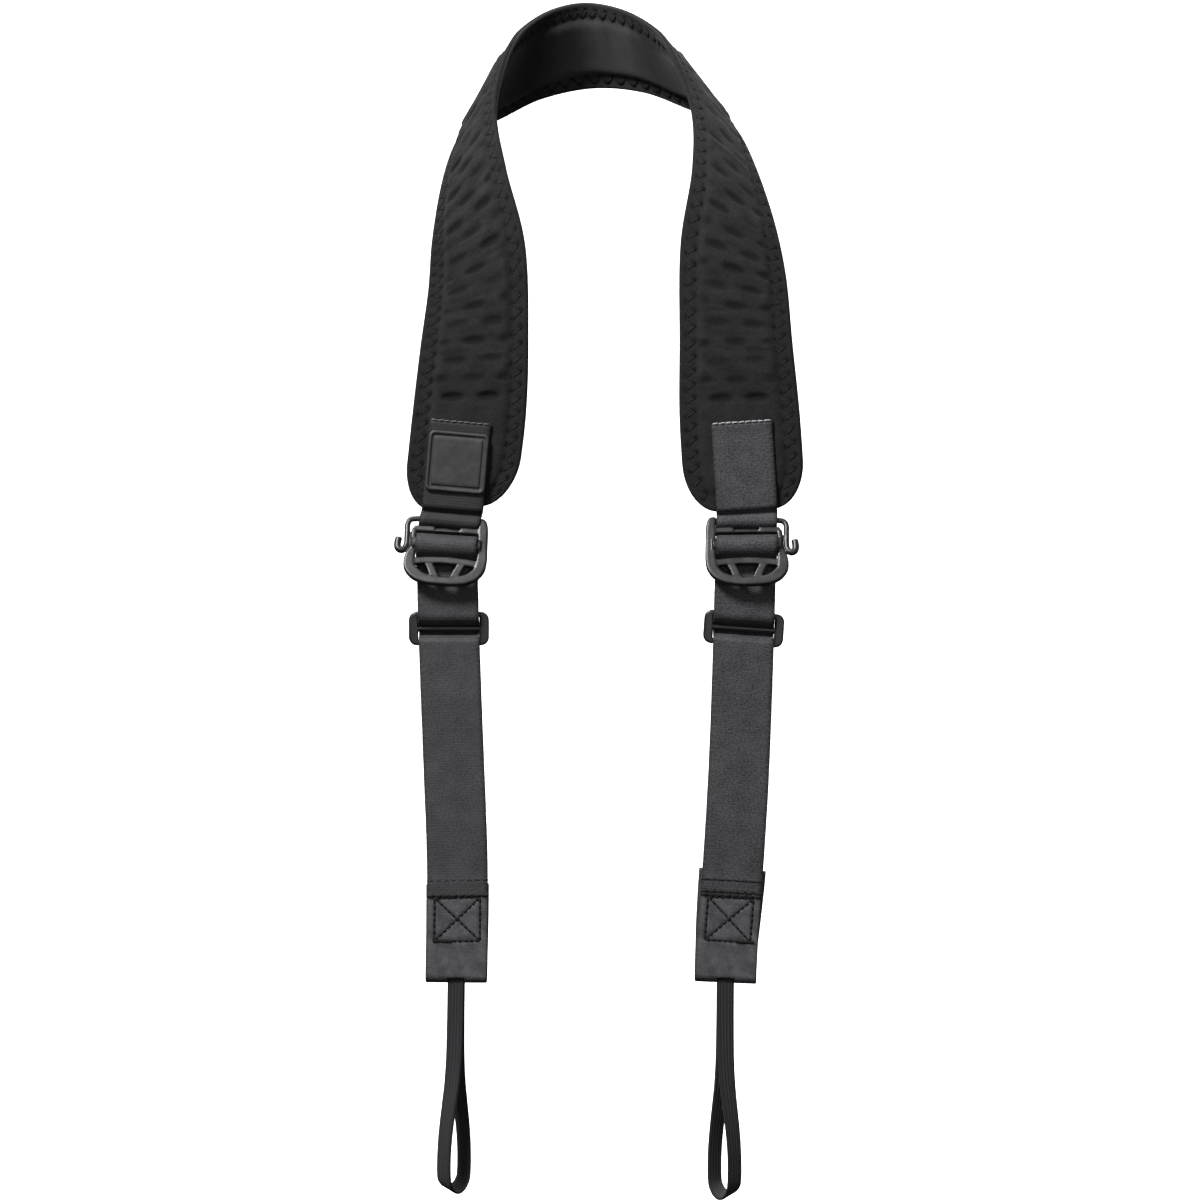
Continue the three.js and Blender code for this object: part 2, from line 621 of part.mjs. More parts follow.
// Outline of the buckle's plate: inner arm, D rim, outer arm and the guard bar with its notch
function buckleOutline() {
  const [reach, arm, corner] = [BUCKLE_REACH, BUCKLE_OUTER_ARM, BUCKLE_CORNER];
  const notchLow = GUARD_TOP - GUARD_NOTCH_DEPTH;
  const shape = new THREE.Shape();
  shape.moveTo(-reach, RIM_CENTRE);
  shape.bezierCurveTo(-reach, RIM_PULL.innerSide, -RIM_PULL.innerLow, RIM_LOW, 0, RIM_LOW);
  shape.bezierCurveTo(RIM_PULL.outerLow, RIM_LOW, reach, RIM_PULL.outerSide, reach, RIM_CENTRE);
  shape.quadraticCurveTo(reach, RIM_SHOULDER.top, arm, RIM_SHOULDER.low);
  shape.lineTo(arm, GUARD_TOP - corner);
  shape.quadraticCurveTo(arm, GUARD_TOP, arm - corner, GUARD_TOP);
  shape.lineTo(GUARD_NOTCH, GUARD_TOP);
  shape.lineTo(GUARD_NOTCH, notchLow);
  shape.lineTo(-GUARD_NOTCH, notchLow);
  shape.lineTo(-GUARD_NOTCH, GUARD_TOP);
  shape.lineTo(-BUCKLE_WINDOW, GUARD_TOP);
  shape.lineTo(-BUCKLE_WINDOW, INNER_ARM_TOP);
  shape.lineTo(corner - INNER_ARM_REACH, INNER_ARM_TOP);
  shape.quadraticCurveTo(-INNER_ARM_REACH, INNER_ARM_TOP, -INNER_ARM_REACH, INNER_ARM_TOP - corner);
  return shape;
}

// Opening for the roll bar, above the bowed bar
function rollWindow() {
  const side = BUCKLE_WINDOW;
  const path = new THREE.Path();
  path.moveTo(-side, ARC_BAR_TOP - ARC_BAR_BOW);
  path.lineTo(-side, GUARD_LOW);
  path.lineTo(side, GUARD_LOW);
  path.lineTo(side, ARC_BAR_TOP - ARC_BAR_BOW);
  path.quadraticCurveTo(0, ARC_BAR_TOP + ARC_BAR_BOW, -side, ARC_BAR_TOP - ARC_BAR_BOW);
  return path;
}

// Three windows between the bowed bar, the two struts and the rim
function rimWindows() {
  const rim = (x) => RIM_CENTRE - RIM_INNER_DROP * Math.sqrt(1 - (x / RIM_INNER_REACH) ** 2);
  const window = (top, low, steps) => {
    const bottom = Array.from({ length: steps + 1 }, (_, k) => {
      const x = THREE.MathUtils.lerp(low.from, low.to, k / steps);
      return new THREE.Vector2(x, Math.min(rim(x), ARC_BAR_LOW));
    });
    const corners = [top.to, top.from].map((x) => new THREE.Vector2(x, ARC_BAR_LOW));
    return new THREE.Path([...corners, ...bottom]);
  };
  const middle = window({ from: -STRUT_TOP, to: STRUT_TOP }, { from: -STRUT_LOW, to: STRUT_LOW }, 4);
  const sideTop = { from: STRUT_TOP + STRUT_WIDTH, to: SIDE_WINDOW_TOP };
  const sideLow = { from: STRUT_LOW + STRUT_WIDTH, to: SIDE_WINDOW_LOW };
  const outer = window(sideTop, sideLow, 3);
  const inner = outer.getPoints().map(({ x, y }) => new THREE.Vector2(-x, y)).reverse();
  return [middle, outer, new THREE.Path(inner)];
}

// Round open finger with its curled lip
function buckleFinger() {
  const line = new THREE.CatmullRomCurve3(FINGER_LINE.map(({ x, z }) => new THREE.Vector3(x, 0, z)));
  const round = new THREE.Shape().absarc(0, 0, FINGER_RADIUS, 0, 2 * Math.PI);
  return new THREE.ExtrudeGeometry(round, {
    extrudePath: line,
    steps: FINGER_STEPS,
    curveSegments: 4,
    bevelEnabled: false,
  });
}

function hookBuckle(side) {
  const outline = buckleOutline();
  outline.holes.push(rollWindow(), ...rimWindows());
  const span = 2 * BUCKLE_WINDOW + 1;
  const rollBar = new THREE.CylinderGeometry(ROLL_BAR_RADIUS, ROLL_BAR_RADIUS, span, 14);
  rollBar.rotateZ(Math.PI / 2);
  const whole = joined([plate(outline, BUCKLE_PLATE, BUCKLE_BEVEL, 5), rollBar, buckleFinger()]);
  return side === "right" ? whole : mirroredAcross(whole);
}

function mirroredAcross(geometry) {
  const mirrored = geometry.clone().scale(-1, 1, 1);
  const turned = Array.from(mirrored.index.array).reverse();
  return meshGeometry(mirrored.attributes.position.array, turned);
}

function slider() {
  const outline = roundedRectangle(SLIDER_WIDTH, SLIDER_HEIGHT, SLIDER_CORNER);
  const [w, bar, rail] = [SLIDER_SLOT / 2, SLIDER_CENTRE_BAR / 2, SLIDER_HEIGHT / 2 - SLIDER_RAIL];
  outline.holes.push(rectangleHole(-w, w, bar, rail), rectangleHole(-w, w, -rail, -bar));
  return plate(outline, SLIDER_PLATE, SLIDER_BEVEL, 3);
}

function labelPatch() {
  const base = plate(roundedRectangle(PATCH_SIZE, PATCH_SIZE, PATCH_CORNER), PATCH_BASE, 0, 2);
  const ring = roundedRectangle(PATCH_SIZE, PATCH_SIZE, PATCH_CORNER);
  const inner = PATCH_SIZE - 2 * PATCH_RIM;
  ring.holes.push(roundedRectangle(inner, inner, PATCH_CORNER / 2));
  const rim = plate(ring, PATCH_RIM_HEIGHT + PATCH_RIM_ROOT, 0, 2);
  rim.translate(0, (PATCH_RIM_ROOT - PATCH_BASE - PATCH_RIM_HEIGHT) / 2, 0);
  return joined([base, rim]);
}

const FINISHES = {
  face: { color: 0x2b2b2c, roughness: 0.9, metalness: 0 },
  lining: { color: 0x333334, roughness: 0.85, metalness: 0 },
  webbing: { color: 0x46464a, roughness: 0.7, metalness: 0 },
  tab: { color: 0x3c3c3e, roughness: 0.6, metalness: 0 },
  tape: { color: 0x2c2c2d, roughness: 0.8, metalness: 0 },
  buckle: { color: 0x2c2c2e, roughness: 0.42, metalness: 0 },
  slider: { color: 0x1a1a1b, roughness: 0.45, metalness: 0 },
  patch: { color: 0x222223, roughness: 0.55, metalness: 0 },
};
const materials = Object.fromEntries(
  Object.entries(FINISHES).map(([name, finish]) => [name, new THREE.MeshStandardMaterial(finish)]),
);

function piece(name, geometry, finish) {
  const mesh = new THREE.Mesh(geometry, materials[finish]);
  mesh.name = name;
  return mesh;
}

// Group that stands at a leg's row, leaning as the leg does there
function leaningGroup(side, z, y) {
  const { x, lean } = plumbAt(side, z);
  const group = new THREE.Group();
  group.position.set(x, y, z);
  group.rotation.y = lean;
  return group;
}

function leg(side) {
  const group = new THREE.Group();
  const buckleStand = leaningGroup(side, ROLL_Z, ROLL_Y);
  const buckle = piece(`${side}_hook_buckle`, hookBuckle(side), "buckle");
  buckle.rotation.x = -radians(BUCKLE_TILT);
  buckleStand.add(buckle);
  const sliderStand = leaningGroup(side, SLIDER_Z, SLIDER_Y);
  sliderStand.add(piece(`${side}_slider`, slider(), "slider"));
  group.add(
    piece(`${side}_anchor_webbing`, anchorWebbing(side), "webbing"),
    buckleStand,
    piece(`${side}_strap_webbing`, strapWebbing(side), "webbing"),
    sliderStand,
    piece(`${side}_end_tab`, endTab(side), "tab"),
    piece(`${side}_cord_loop`, tapeLoop(side), "tape"),
  );
  return group;
}

const harness = new THREE.Group();
harness.add(piece("pad_face", collarFace(), "face"), piece("pad_lining", collarLining(), "lining"));
SIDES.forEach((side) => harness.add(leg(side)));
const patchDepth = ANCHOR_LIFT + WEBBING_THICK / 2 + GAP + PATCH_BASE / 2;
const patchStand = leaningGroup("left", PATCH_HEIGHT, LEG_Y - patchDepth);
patchStand.add(piece("left_label_patch", labelPatch(), "patch"));
harness.add(patchStand);

export default harness;
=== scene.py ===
"""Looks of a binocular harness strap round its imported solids. Metres, +Z up, the front towards -Y."""

import math
from bisect import bisect_left

import bmesh
import bpy
from mathutils import Matrix, Vector, noise


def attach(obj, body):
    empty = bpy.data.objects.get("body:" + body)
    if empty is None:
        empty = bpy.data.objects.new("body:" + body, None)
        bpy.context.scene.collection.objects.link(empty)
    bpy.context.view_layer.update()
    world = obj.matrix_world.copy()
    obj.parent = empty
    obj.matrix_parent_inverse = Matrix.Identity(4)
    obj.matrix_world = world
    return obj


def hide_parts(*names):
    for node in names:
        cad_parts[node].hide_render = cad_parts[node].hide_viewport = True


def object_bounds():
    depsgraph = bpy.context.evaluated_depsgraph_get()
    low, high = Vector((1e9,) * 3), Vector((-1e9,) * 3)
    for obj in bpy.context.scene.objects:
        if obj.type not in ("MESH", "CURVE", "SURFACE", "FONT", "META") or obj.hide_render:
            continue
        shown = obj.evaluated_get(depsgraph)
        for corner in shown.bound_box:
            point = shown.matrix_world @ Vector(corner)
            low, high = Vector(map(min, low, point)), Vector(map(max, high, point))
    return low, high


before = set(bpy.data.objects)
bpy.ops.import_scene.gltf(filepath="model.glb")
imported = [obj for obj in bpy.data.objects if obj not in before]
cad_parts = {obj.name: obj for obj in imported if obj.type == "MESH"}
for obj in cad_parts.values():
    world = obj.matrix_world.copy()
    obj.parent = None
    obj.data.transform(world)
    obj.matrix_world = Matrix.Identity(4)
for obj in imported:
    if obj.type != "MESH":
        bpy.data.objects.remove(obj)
cad_low, cad_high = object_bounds()

MM = 0.001
SIDES = ("left", "right")
SIGN = {"left": -1, "right": 1}
FRONT = Vector((0, -1, 0))

# Camera: level with the strap's middle, 120 mm lens, the photograph's square frame
CAMERA_PLACE = (-0.00164, -1.732, -0.2396)
CAMERA_LENS = 120
CAMERA_SENSOR = 36

# Tape loops: drop below the tab's fold, half the distance between the strands, turn of the loop's plane
LOOP_ROWS = [
    (drop * MM, spread * MM, math.radians(turn))
    for drop, spread, turn in (
        (-5.5, 1.18, 0), (2, 1.18, 4), (18, 1.3, 8), (32, 1.9, 16), (42, 3.1, 24),
        (51, 4.6, 30), (60, 5.9, 34), (69, 6.6, 36), (78, 6.6, 36),
    )
]
LOOP_STRETCH = {"left": 1, "right": 1.03}
LOOP_BEND_STEPS = 8
LOOP_BEND_LEAN = 0.42
LOOP_SUBSTEPS = 4
TAPE_WIDTH = 7 * MM
TAPE_THICK = 1.2 * MM
TAPE_EDGE = 0.6 * MM

# Where each leg's pieces hang: height, sideways place and clockwise lean in degrees
PLUMB = {
    "left": [
        (-166.5, -58.6, 5), (-202.7, -62.2, 4.8), (-207.1, -63.3, 4.2), (-217.4, -64.5, 3.6),
        (-235.5, -64, 0.5), (-251.3, -63.6, 0), (-305, -61.6, -2), (-346, -60.1, -1.5),
        (-379, -60.2, 0), (-396.3, -60.5, 0.5), (-484, -61.6, 0),
    ],
    "right": [
        (-166.5, 56.4, -3.6), (-202.7, 58.6, -3.6), (-207.1, 58.6, -1.5), (-217.4, 58.4, -0.5),
        (-235.5, 57.7, 2), (-251.3, 57.3, 4), (-305, 55.4, 3), (-346, 53, 3.2),
        (-379, 50.4, 3), (-396.3, 49.7, 2.5), (-484, 49.3, 0),
    ],
}

# Sections across the collar, from the left end round the neck: neck edge x, y, z and outer edge x, y, z
COLLAR_SECTIONS = [
    ((-36.5, -90, -200), (-83, -90, -204)), ((-32, -90, -164), (-79, -90, -166)),
    ((-31, -89, -133), (-75.5, -88, -135.5)), ((-32.5, -85, -92.5), (-72.5, -84, -112)),
    ((-40.5, -75, -60.5), (-71, -80, -91)), ((-45, -58, -32.5), (-67, -68, -66)),
    ((-38.8, -38, -4), (-58.5, -36, -41.5)), ((-32, -22, 7), (-45.5, -9, -32.5)),
    ((-21.2, -13.2, 14.5), (-27, 5.8, -21.8)), ((-8, -8.5, 17.7), (-4, 13.5, -16.2)),
    ((7.5, -13.5, 14.1), (17.5, 6.4, -18.9)), ((20.5, -23, 5.4), (37, -8, -27.8)),
    ((27, -38, -5), (52.5, -38, -38)), ((36.2, -58, -32.5), (63, -69, -60)),
    ((36.5, -75, -60), (70.8, -81, -85)), ((31.5, -85, -92.5), (75, -85, -106)),
    ((31, -89, -135), (77.5, -89, -134)), ((31, -90, -166), (80.5, -90, -164)),
    ((33.5, -90, -204), (83, -90, -201.5)),
]
COLLAR_SAMPLES = 400
CORNER_ACROSS = 13.5 * MM
CORNER_ALONG = 20 * MM
FLAT_END = 46 * MM
FLAT_BLEND = 14 * MM

# Collar's cross-section, from its middle surface
EDGE_HALF = 1.3 * MM
BORDER = 7 * MM
BORDER_RISE = 3 * MM
CROWN = 3 * MM
END_CROWN = 2.45 * MM
LINING_CROWN = 2.9 * MM
FACE_SLOPE_START = BORDER - 0.6 * MM
LINING_SLOPE_START = BORDER - 1.4 * MM
FACE_UNDERSIDE = -0.15 * MM
LINING_GAP = 0.2 * MM
UNDERSIDE_SHARES = (0.95, 0.5, 0, -0.5, -0.95)
CREASE_DEPTH = 0.5 * MM
FOLD_DEPTH = 0.35 * MM
LINING_LUMPS = 0.18 * MM
EDGE_STEPS = [step * MM for step in (0, 0.12, 0.4, 0.85, 1.4)]
BORDER_STEPS = [*EDGE_STEPS, *((1.4 + 0.6 * k) * MM for k in range(1, 13))]

# Vent dents: staggered rows of pressed ovals, each in a shallow slope, deeper in the row at each end
DENT_ROW = 7.7 * MM
DENT_PITCH = 14.8 * MM
DENT_HALF_ACROSS = 5.8 * MM
DENT_HALF_ALONG = 2.2 * MM
DENT_DEPTH = 0.6 * MM
DENT_VARIES = 0.85
DENT_WANDER = 0.7 * MM
SLOPE_HALF_ACROSS = 6 * MM
SLOPE_HALF_ALONG = 3 * MM
SLOPE_DEPTH = 0.2 * MM
END_ROW_REACH = 5 * MM
END_ROW_MORE = 0.75

# Zigzag stitch along both edges: needle rows from the edge, advance for each stitch, pull of the needle
ZIGZAG_ROWS = (2.9 * MM, 6.6 * MM)
ZIGZAG_STEP = 2.8 * MM
ZIGZAG_RADIUS = 0.24 * MM
NEEDLE_PULL = 0.5 * MM
NEEDLE_VARIES = 0.6 * MM
NEEDLE_REACH = 0.85 * MM

# Webbing, tabs and hardware
WEBBING_WIDTH = 25 * MM
WEBBING_THICK = 1.2 * MM
SELVEDGE = 0.5 * MM
GAP = 0.3 * MM
TAB_WIDTH = 25.3 * MM
TAB_EDGE = 0.35 * MM
TAB_FOLD_RADIUS = 2.7 * MM
TAB_TOP_SPREAD = 1.6 * MM
TAB_TOPS = {"left": (-360.6 * MM, -356 * MM), "right": (-360.6 * MM, -350 * MM)}
TAB_FLARE = {"left": 0.25 * MM, "right": 1.1 * MM}
TAB_SLOT = 3.45 * MM
BUCKLE_TILT = math.radians(24)
FINGER_HEIGHT = 11.3 * MM
FINGER_RADIUS = 1.2 * MM
LIP_RADIUS = 1.5 * MM
ROLL_BAR_RADIUS = 2.9 * MM
ARC_BAR_MIDDLE = -6.95 * MM
ARC_BAR_ROUTE = 2.6 * MM
SLIDER_WIDTH = 33 * MM
SLIDER_HEIGHT = 14 * MM
SLIDER_RAIL = 2 * MM
SLIDER_CENTRE_BAR = 1.6 * MM
SLIDER_SLOT = 25 * MM
SLIDER_CORNER = 3.4 * MM
SLIDER_SLOT_CORNER = 0.7 * MM
PATCH_SIZE = 24.6 * MM
PATCH_Z = -183.2 * MM

# Heights and depths that follow
LEG_Y = -90 * MM
ROLL_Z = -217.4 * MM
ROLL_Y = LEG_Y - FINGER_HEIGHT * math.sin(BUCKLE_TILT)
FINGER_Z = ROLL_Z + FINGER_HEIGHT * math.cos(BUCKLE_TILT)
SLIDER_Z = -251.3 * MM
FOLD_Z = -396.3 * MM
LAYER_STEP = WEBBING_THICK + GAP
RAIL_OFFSET = (SLIDER_HEIGHT - SLIDER_RAIL) / 2
RAIL_ROUTE = 1.3 * MM + GAP + WEBBING_THICK / 2
SLIDER_Y = ROLL_Y + LAYER_STEP / 2 + RAIL_ROUTE
STRAP_Y = SLIDER_Y - RAIL_ROUTE
STRAP_LOW_END = -378 * MM
ANCHOR_LIFT = 3.2 * MM
ANCHOR_HEM = -166.5 * MM
ANCHOR_BACK_END = -172 * MM


# Curves

def hermite(a, b, slope_a, slope_b, t):
    rise = t * t * (3 - 2 * t)
    return a + (b - a) * rise + ((1 - t) * slope_a - t * slope_b) * (t * (1 - t))


def smoothstep(value, low, high):
    t = min(max((value - low) / (high - low), 0), 1)
    return t * t * (3 - 2 * t)


def mix(a, b, t):
    return a + (b - a) * t


def lumps(x, y, seed):
    """Smooth noise from -1 to 1, with lumps about one unit across."""
    return noise.noise(Vector((x, y, seed)))


def falloff(distance, reach):
    """1 at no distance, falling to 0 a little beyond a reach."""
    return math.exp(-((distance / reach) ** 2))


def catmull_rom(points, t):
    """Point at a share of a centripetal curve through points."""
    last = len(points) - 1
    place = min(max(t, 0), 1) * last
    i = min(int(place), last - 1)
    p1, p2 = points[i], points[i + 1]
    p0 = points[i - 1] if i > 0 else 2 * p1 - p2
    p3 = points[i + 2] if i + 2 <= last else 2 * p2 - p1
    d0, d1, d2 = (math.sqrt((b - a).length) for a, b in ((p0, p1), (p1, p2), (p2, p3)))
    slope_1 = ((p1 - p0) / d0 - (p2 - p0) / (d0 + d1) + (p2 - p1) / d1) * d1
    slope_2 = ((p2 - p1) / d1 - (p3 - p1) / (d1 + d2) + (p3 - p2) / d2) * d1
    return hermite(p1, p2, slope_1, slope_2, place - i)


def plumb_at(side, z):
    """Sideways place and lean of a leg at a height."""
    rows = [Vector((row[0] * MM, row[1] * MM, math.radians(row[2]))) for row in PLUMB[side]]
    i = next((k for k, row in enumerate(rows) if row.x <= z), len(rows) - 1) - 1
    i = min(max(i, 0), len(rows) - 2)

    def slope(k):
        before, after = rows[max(k - 1, 0)], rows[min(k + 1, len(rows) - 1)]
        return (after - before) / (after.x - before.x)

    span = rows[i + 1].x - rows[i].x
    t = min(max((z - rows[i].x) / span, 0), 1)
    found = hermite(rows[i], rows[i + 1], slope(i) * span, slope(i + 1) * span, t)
    return found.y, found.z


def hang(side, across, y, z):
    """A point of a leg: across its width, at a depth and a height."""
    x, lean = plumb_at(side, z)
    return Vector((x + across * math.cos(lean), y, z - across * math.sin(lean)))


def route_past_bars(start, bars, finish, longest=2 * MM):
    """Side-view line of a band past bars (y, z, radius, turn): straight runs, and arcs round the bars.
    Rows of y, z and the band's outward direction there."""
    stops = [(*start, 0, 1), *bars, (*finish, 0, 1)]
    headings = []
    for (y0, z0, r0, s0), (y1, z1, r1, s1) in zip(stops, stops[1:]):
        reach = math.hypot(y1 - y0, z1 - z0)
        headings.append(math.atan2(z1 - z0, y1 - y0) - math.asin((s1 * r1 - s0 * r0) / reach))

    def point_on(stop, heading):
        y, z, radius, turn = stop
        out = (-math.sin(heading), math.cos(heading))
        return y - turn * radius * out[0], z - turn * radius * out[1], out

    route = [point_on(stops[0], headings[0])]
    for bar, into, leaving in zip(bars, headings, headings[1:]):
        turn = bar[3]
        sweep = turn * ((turn * (leaving - into)) % (2 * math.pi))
        steps = max(2, math.ceil(abs(sweep) / math.radians(8)))
        route += [point_on(bar, into + sweep * k / steps) for k in range(steps + 1)]
    route.append(point_on(stops[-1], headings[-1]))
    return subdivided(route, longest)


def subdivided(route, longest):
    """The same line with a row at least every few millimetres, and the length run at each row."""
    rows, run = [], 0
    for (y0, z0, out), (y1, z1, _) in zip(route, route[1:]):
        length = math.hypot(y1 - y0, z1 - z0)
        steps = max(1, math.ceil(length / longest))
        for k in range(steps):
            rows.append((mix(y0, y1, k / steps), mix(z0, z1, k / steps), out, run + length * k / steps))
        run += length
    y, z, out = route[-1]
    return [*rows, (y, z, out, run)]


# Collar

NECK_EDGE = [Vector(neck) * MM for neck, _ in COLLAR_SECTIONS]
OUTER_EDGE = [Vector(outer) * MM for _, outer in COLLAR_SECTIONS]


def collar_middle(t):
    return (catmull_rom(NECK_EDGE, t) + catmull_rom(OUTER_EDGE, t)) / 2


COLLAR_RUN = [0]
for sample in range(COLLAR_SAMPLES):
    ends = (collar_middle((sample + k) / COLLAR_SAMPLES) for k in (0, 1))
    COLLAR_RUN.append(COLLAR_RUN[-1] + (next(ends) - next(ends)).length)
COLLAR_LENGTH = COLLAR_RUN[-1]
DENT_ROWS = 2 * round((COLLAR_LENGTH - 2 * FLAT_END) / (2 * DENT_ROW))
DENT_STEP = (COLLAR_LENGTH - 2 * FLAT_END) / DENT_ROWS


class CollarSection:
    """The collar at one length: its middle, directions, half width and how padded it is there."""

    def __init__(self, length):
        i = min(max(bisect_left(COLLAR_RUN, length), 1), COLLAR_SAMPLES)
        part = (length - COLLAR_RUN[i - 1]) / (COLLAR_RUN[i] - COLLAR_RUN[i - 1])
        t = (i - 1 + part) / COLLAR_SAMPLES
        neck = catmull_rom(NECK_EDGE, t)
        across = catmull_rom(OUTER_EDGE, t) - neck
        self.middle = neck + across / 2
        self.across = across.normalized()
        ahead = collar_middle(min(t + 2e-3, 1)) - collar_middle(max(t - 2e-3, 0))
        self.out = ahead.cross(self.across).normalized()
        self.length = length
        self.from_end = min(length, COLLAR_LENGTH - length)
        corner = max(1 - self.from_end / CORNER_ALONG, 0)
        inset = CORNER_ACROSS * (1 - math.sqrt(1 - corner * corner))
        self.half = across.length / 2 - inset
        self.body = smoothstep(self.from_end, FLAT_END, FLAT_END + FLAT_BLEND)

    def at(self, across, lift):
        return self.middle + self.across * across + self.out * lift

    def edge_distance(self, across):
        return min(self.half - abs(across), self.from_end)

    def padding(self, across, crown, slope_start):
        """Plain padded form at a place: its height, its share of the rise and the share of bare rim."""
        edge = self.edge_distance(across)
        round_off = min(edge / EDGE_HALF, 1)
        border = EDGE_HALF * math.sqrt(1 - (1 - round_off) ** 2)
        rise = smoothstep(edge, slope_start, BORDER + BORDER_RISE)
        height = border + (mix(END_CROWN, crown, self.body) - EDGE_HALF) * rise
        return height, rise, 1 - smoothstep(edge, 0.2 * MM, 1.8 * MM)


def pulled_by_needle(section, across):
    """How far the zigzag's needle holes draw the border in."""
    step = section.length / ZIGZAG_STEP
    nearest = round(step)
    along = (step - nearest) * ZIGZAG_STEP
    off = section.half - abs(across) - ZIGZAG_ROWS[nearest % 2]
    pull = NEEDLE_PULL + NEEDLE_VARIES * lumps(nearest * 0.61, 4 if across > 0 else 9, 1.2)
    return pull * falloff(math.hypot(along, off), NEEDLE_REACH)


def dent_depth(section, across):
    """How deep the face is pressed in, by the nearest ovals of the staggered rows."""
    place = (section.length - FLAT_END) / DENT_STEP
    row = round(place)
    if row < 0 or row > DENT_ROWS:
        return 0
    shift = 0.5 if row % 2 == 0 else 0
    column = round(across / DENT_PITCH - shift)
    off = across - (column + shift) * DENT_PITCH
    along = (place - row) * DENT_STEP + DENT_WANDER * lumps(row * 0.9, column * 2.3, 5.1)
    oval = abs(off / DENT_HALF_ACROSS) ** 2.5 + (along / DENT_HALF_ALONG) ** 2
    slope = falloff(off, SLOPE_HALF_ACROSS) * falloff(along, SLOPE_HALF_ALONG)
    share = 1 + DENT_VARIES * lumps(row * 1.73, column * 3.19, 0.37)
    share += END_ROW_MORE * falloff(section.from_end - FLAT_END, END_ROW_REACH)
    return share * (DENT_DEPTH * smoothstep(1 - oval, 0, 1) + SLOPE_DEPTH * slope)


def face_lift(section, across):
    """Height of the collar's face over its middle surface, and its share of painted shade there: in the
    dents and needle holes, with darker colour over the border and along the rim.
    """
    height, rise, rim = section.padding(across, CROWN, FACE_SLOPE_START)
    inside = smoothstep(section.edge_distance(across), BORDER, BORDER + BORDER_RISE)
    u, v = section.length / MM, across / MM
    crease = lumps(u / 6, v / 30, 3.1) + 0.5 * lumps(u / 2.6, v / 16, 7.7)
    fold = max(1 - 4 * abs(lumps(u / 11, v / 60, 12.4)), 0) ** 2
    wrinkle = (CREASE_DEPTH * crease - FOLD_DEPTH * fold) * rise * mix(0.3, 1, section.body)
    pressed_and_shaded = dent_depth(section, across) * inside
    needle = pulled_by_needle(section, across)
    # Painted shade in the dents and needle holes; the colour is also darker over the border and along the
    # rim
    dark = (0.7 * pressed_and_shaded + 1.5 * needle) / DENT_DEPTH + 0.2 * (1 - rise) + 0.6 * rim
    return height + wrinkle - pressed_and_shaded - needle, dark


def lining_lift(section, across):
    """Depth of the lining below the collar's middle surface, and its share of painted shade there: in the
    faint dents, the needle holes and on each side of the nape, with darker colour over the border and
    along the rim.
    """
    height, rise, rim = section.padding(across, LINING_CROWN, LINING_SLOPE_START)
    soft = LINING_LUMPS * lumps(section.length / (9 * MM), across / (14 * MM), 1.3)
    pressed_and_shaded = 0.08 * dent_depth(section, across) * rise + pulled_by_needle(section, across)
    from_nape = abs(section.length - COLLAR_LENGTH / 2)
    # Painted shade on each side of the nape, towards the bends over the shoulders
    wear_and_shade = smoothstep(from_nape, 14 * MM, 36 * MM) * (1 - smoothstep(from_nape, 60 * MM, 90 * MM))
    # Painted shade in the faint dents and needle holes; the colour is also darker over the border and
    # along the rim
    dark = pressed_and_shaded / DENT_DEPTH + 0.35 * (1 - rise) + 0.6 * rim + 0.8 * wear_and_shade
    return height + soft * rise - pressed_and_shaded + LINING_GAP, dark


def collar_sections(step):
    """Sections along the collar, close together at its two ends."""
    count = round((COLLAR_LENGTH - 2 * EDGE_STEPS[-1]) / step)
    inner = [mix(EDGE_STEPS[-1], COLLAR_LENGTH - EDGE_STEPS[-1], k / count) for k in range(1, count)]
    lengths = [*EDGE_STEPS, *inner, *(COLLAR_LENGTH - length for length in reversed(EDGE_STEPS))]
    return [CollarSection(length) for length in lengths]


def collar_columns(half, count):
    """Places across the collar, close together along its two borders."""
    inner = half - BORDER_STEPS[-1]
    middle = [mix(-inner, inner, k / count) for k in range(1, count)]
    edge = [half - step for step in BORDER_STEPS]
    return [*(-place for place in edge), *middle, *reversed(edge)]


# Meshes

def skin(bm, rings, flats=None, pressed_and_shaded=None):
    """Adds a closed skin through rings of equally many points. flats holds each point's place on the
    flat cloth in millimetres, with one more in a ring where it closes."""
    cloth = bm.loops.layers.uv.get("cloth") or bm.loops.layers.uv.new("cloth")
    painted_shade = bm.verts.layers.float.get("painted_shade") or bm.verts.layers.float.new("painted_shade")
    grid = [[bm.verts.new(place) for place in ring] for ring in rings]
    for i, (ring, following) in enumerate(zip(grid, grid[1:])):
        for j in range(len(ring)):
            n = (j + 1) % len(ring)
            face = bm.faces.new((ring[j], ring[n], following[n], following[j]))
            if flats:
                corners = (flats[i][j], flats[i][j + 1], flats[i + 1][j + 1], flats[i + 1][j])
                for loop, flat in zip(face.loops, corners):
                    loop[cloth].uv = flat
    # Each point's share of painted shade, for the material to read
    for ring, depths in zip(grid, pressed_and_shaded or []):
        for vert, depth in zip(ring, depths):
            vert[painted_shade] = depth
    bm.faces.new(grid[0])
    bm.faces.new(grid[-1])
    return bm


def add_object(name, data):
    """Puts a mesh, camera or lamp in the scene."""
    made = bpy.data.objects.new(name, data)
    bpy.context.scene.collection.objects.link(made)
    return made


def add_mesh(name, bm, finish):
    """Makes a smooth object of a mesh, with its place in the mesh."""
    bmesh.ops.recalc_face_normals(bm, faces=bm.faces)
    mesh = bpy.data.meshes.new(name)
    bm.to_mesh(mesh)
    bm.free()
    mesh.shade_smooth()
    mesh.materials.append(finish)
    return add_object(name, mesh)


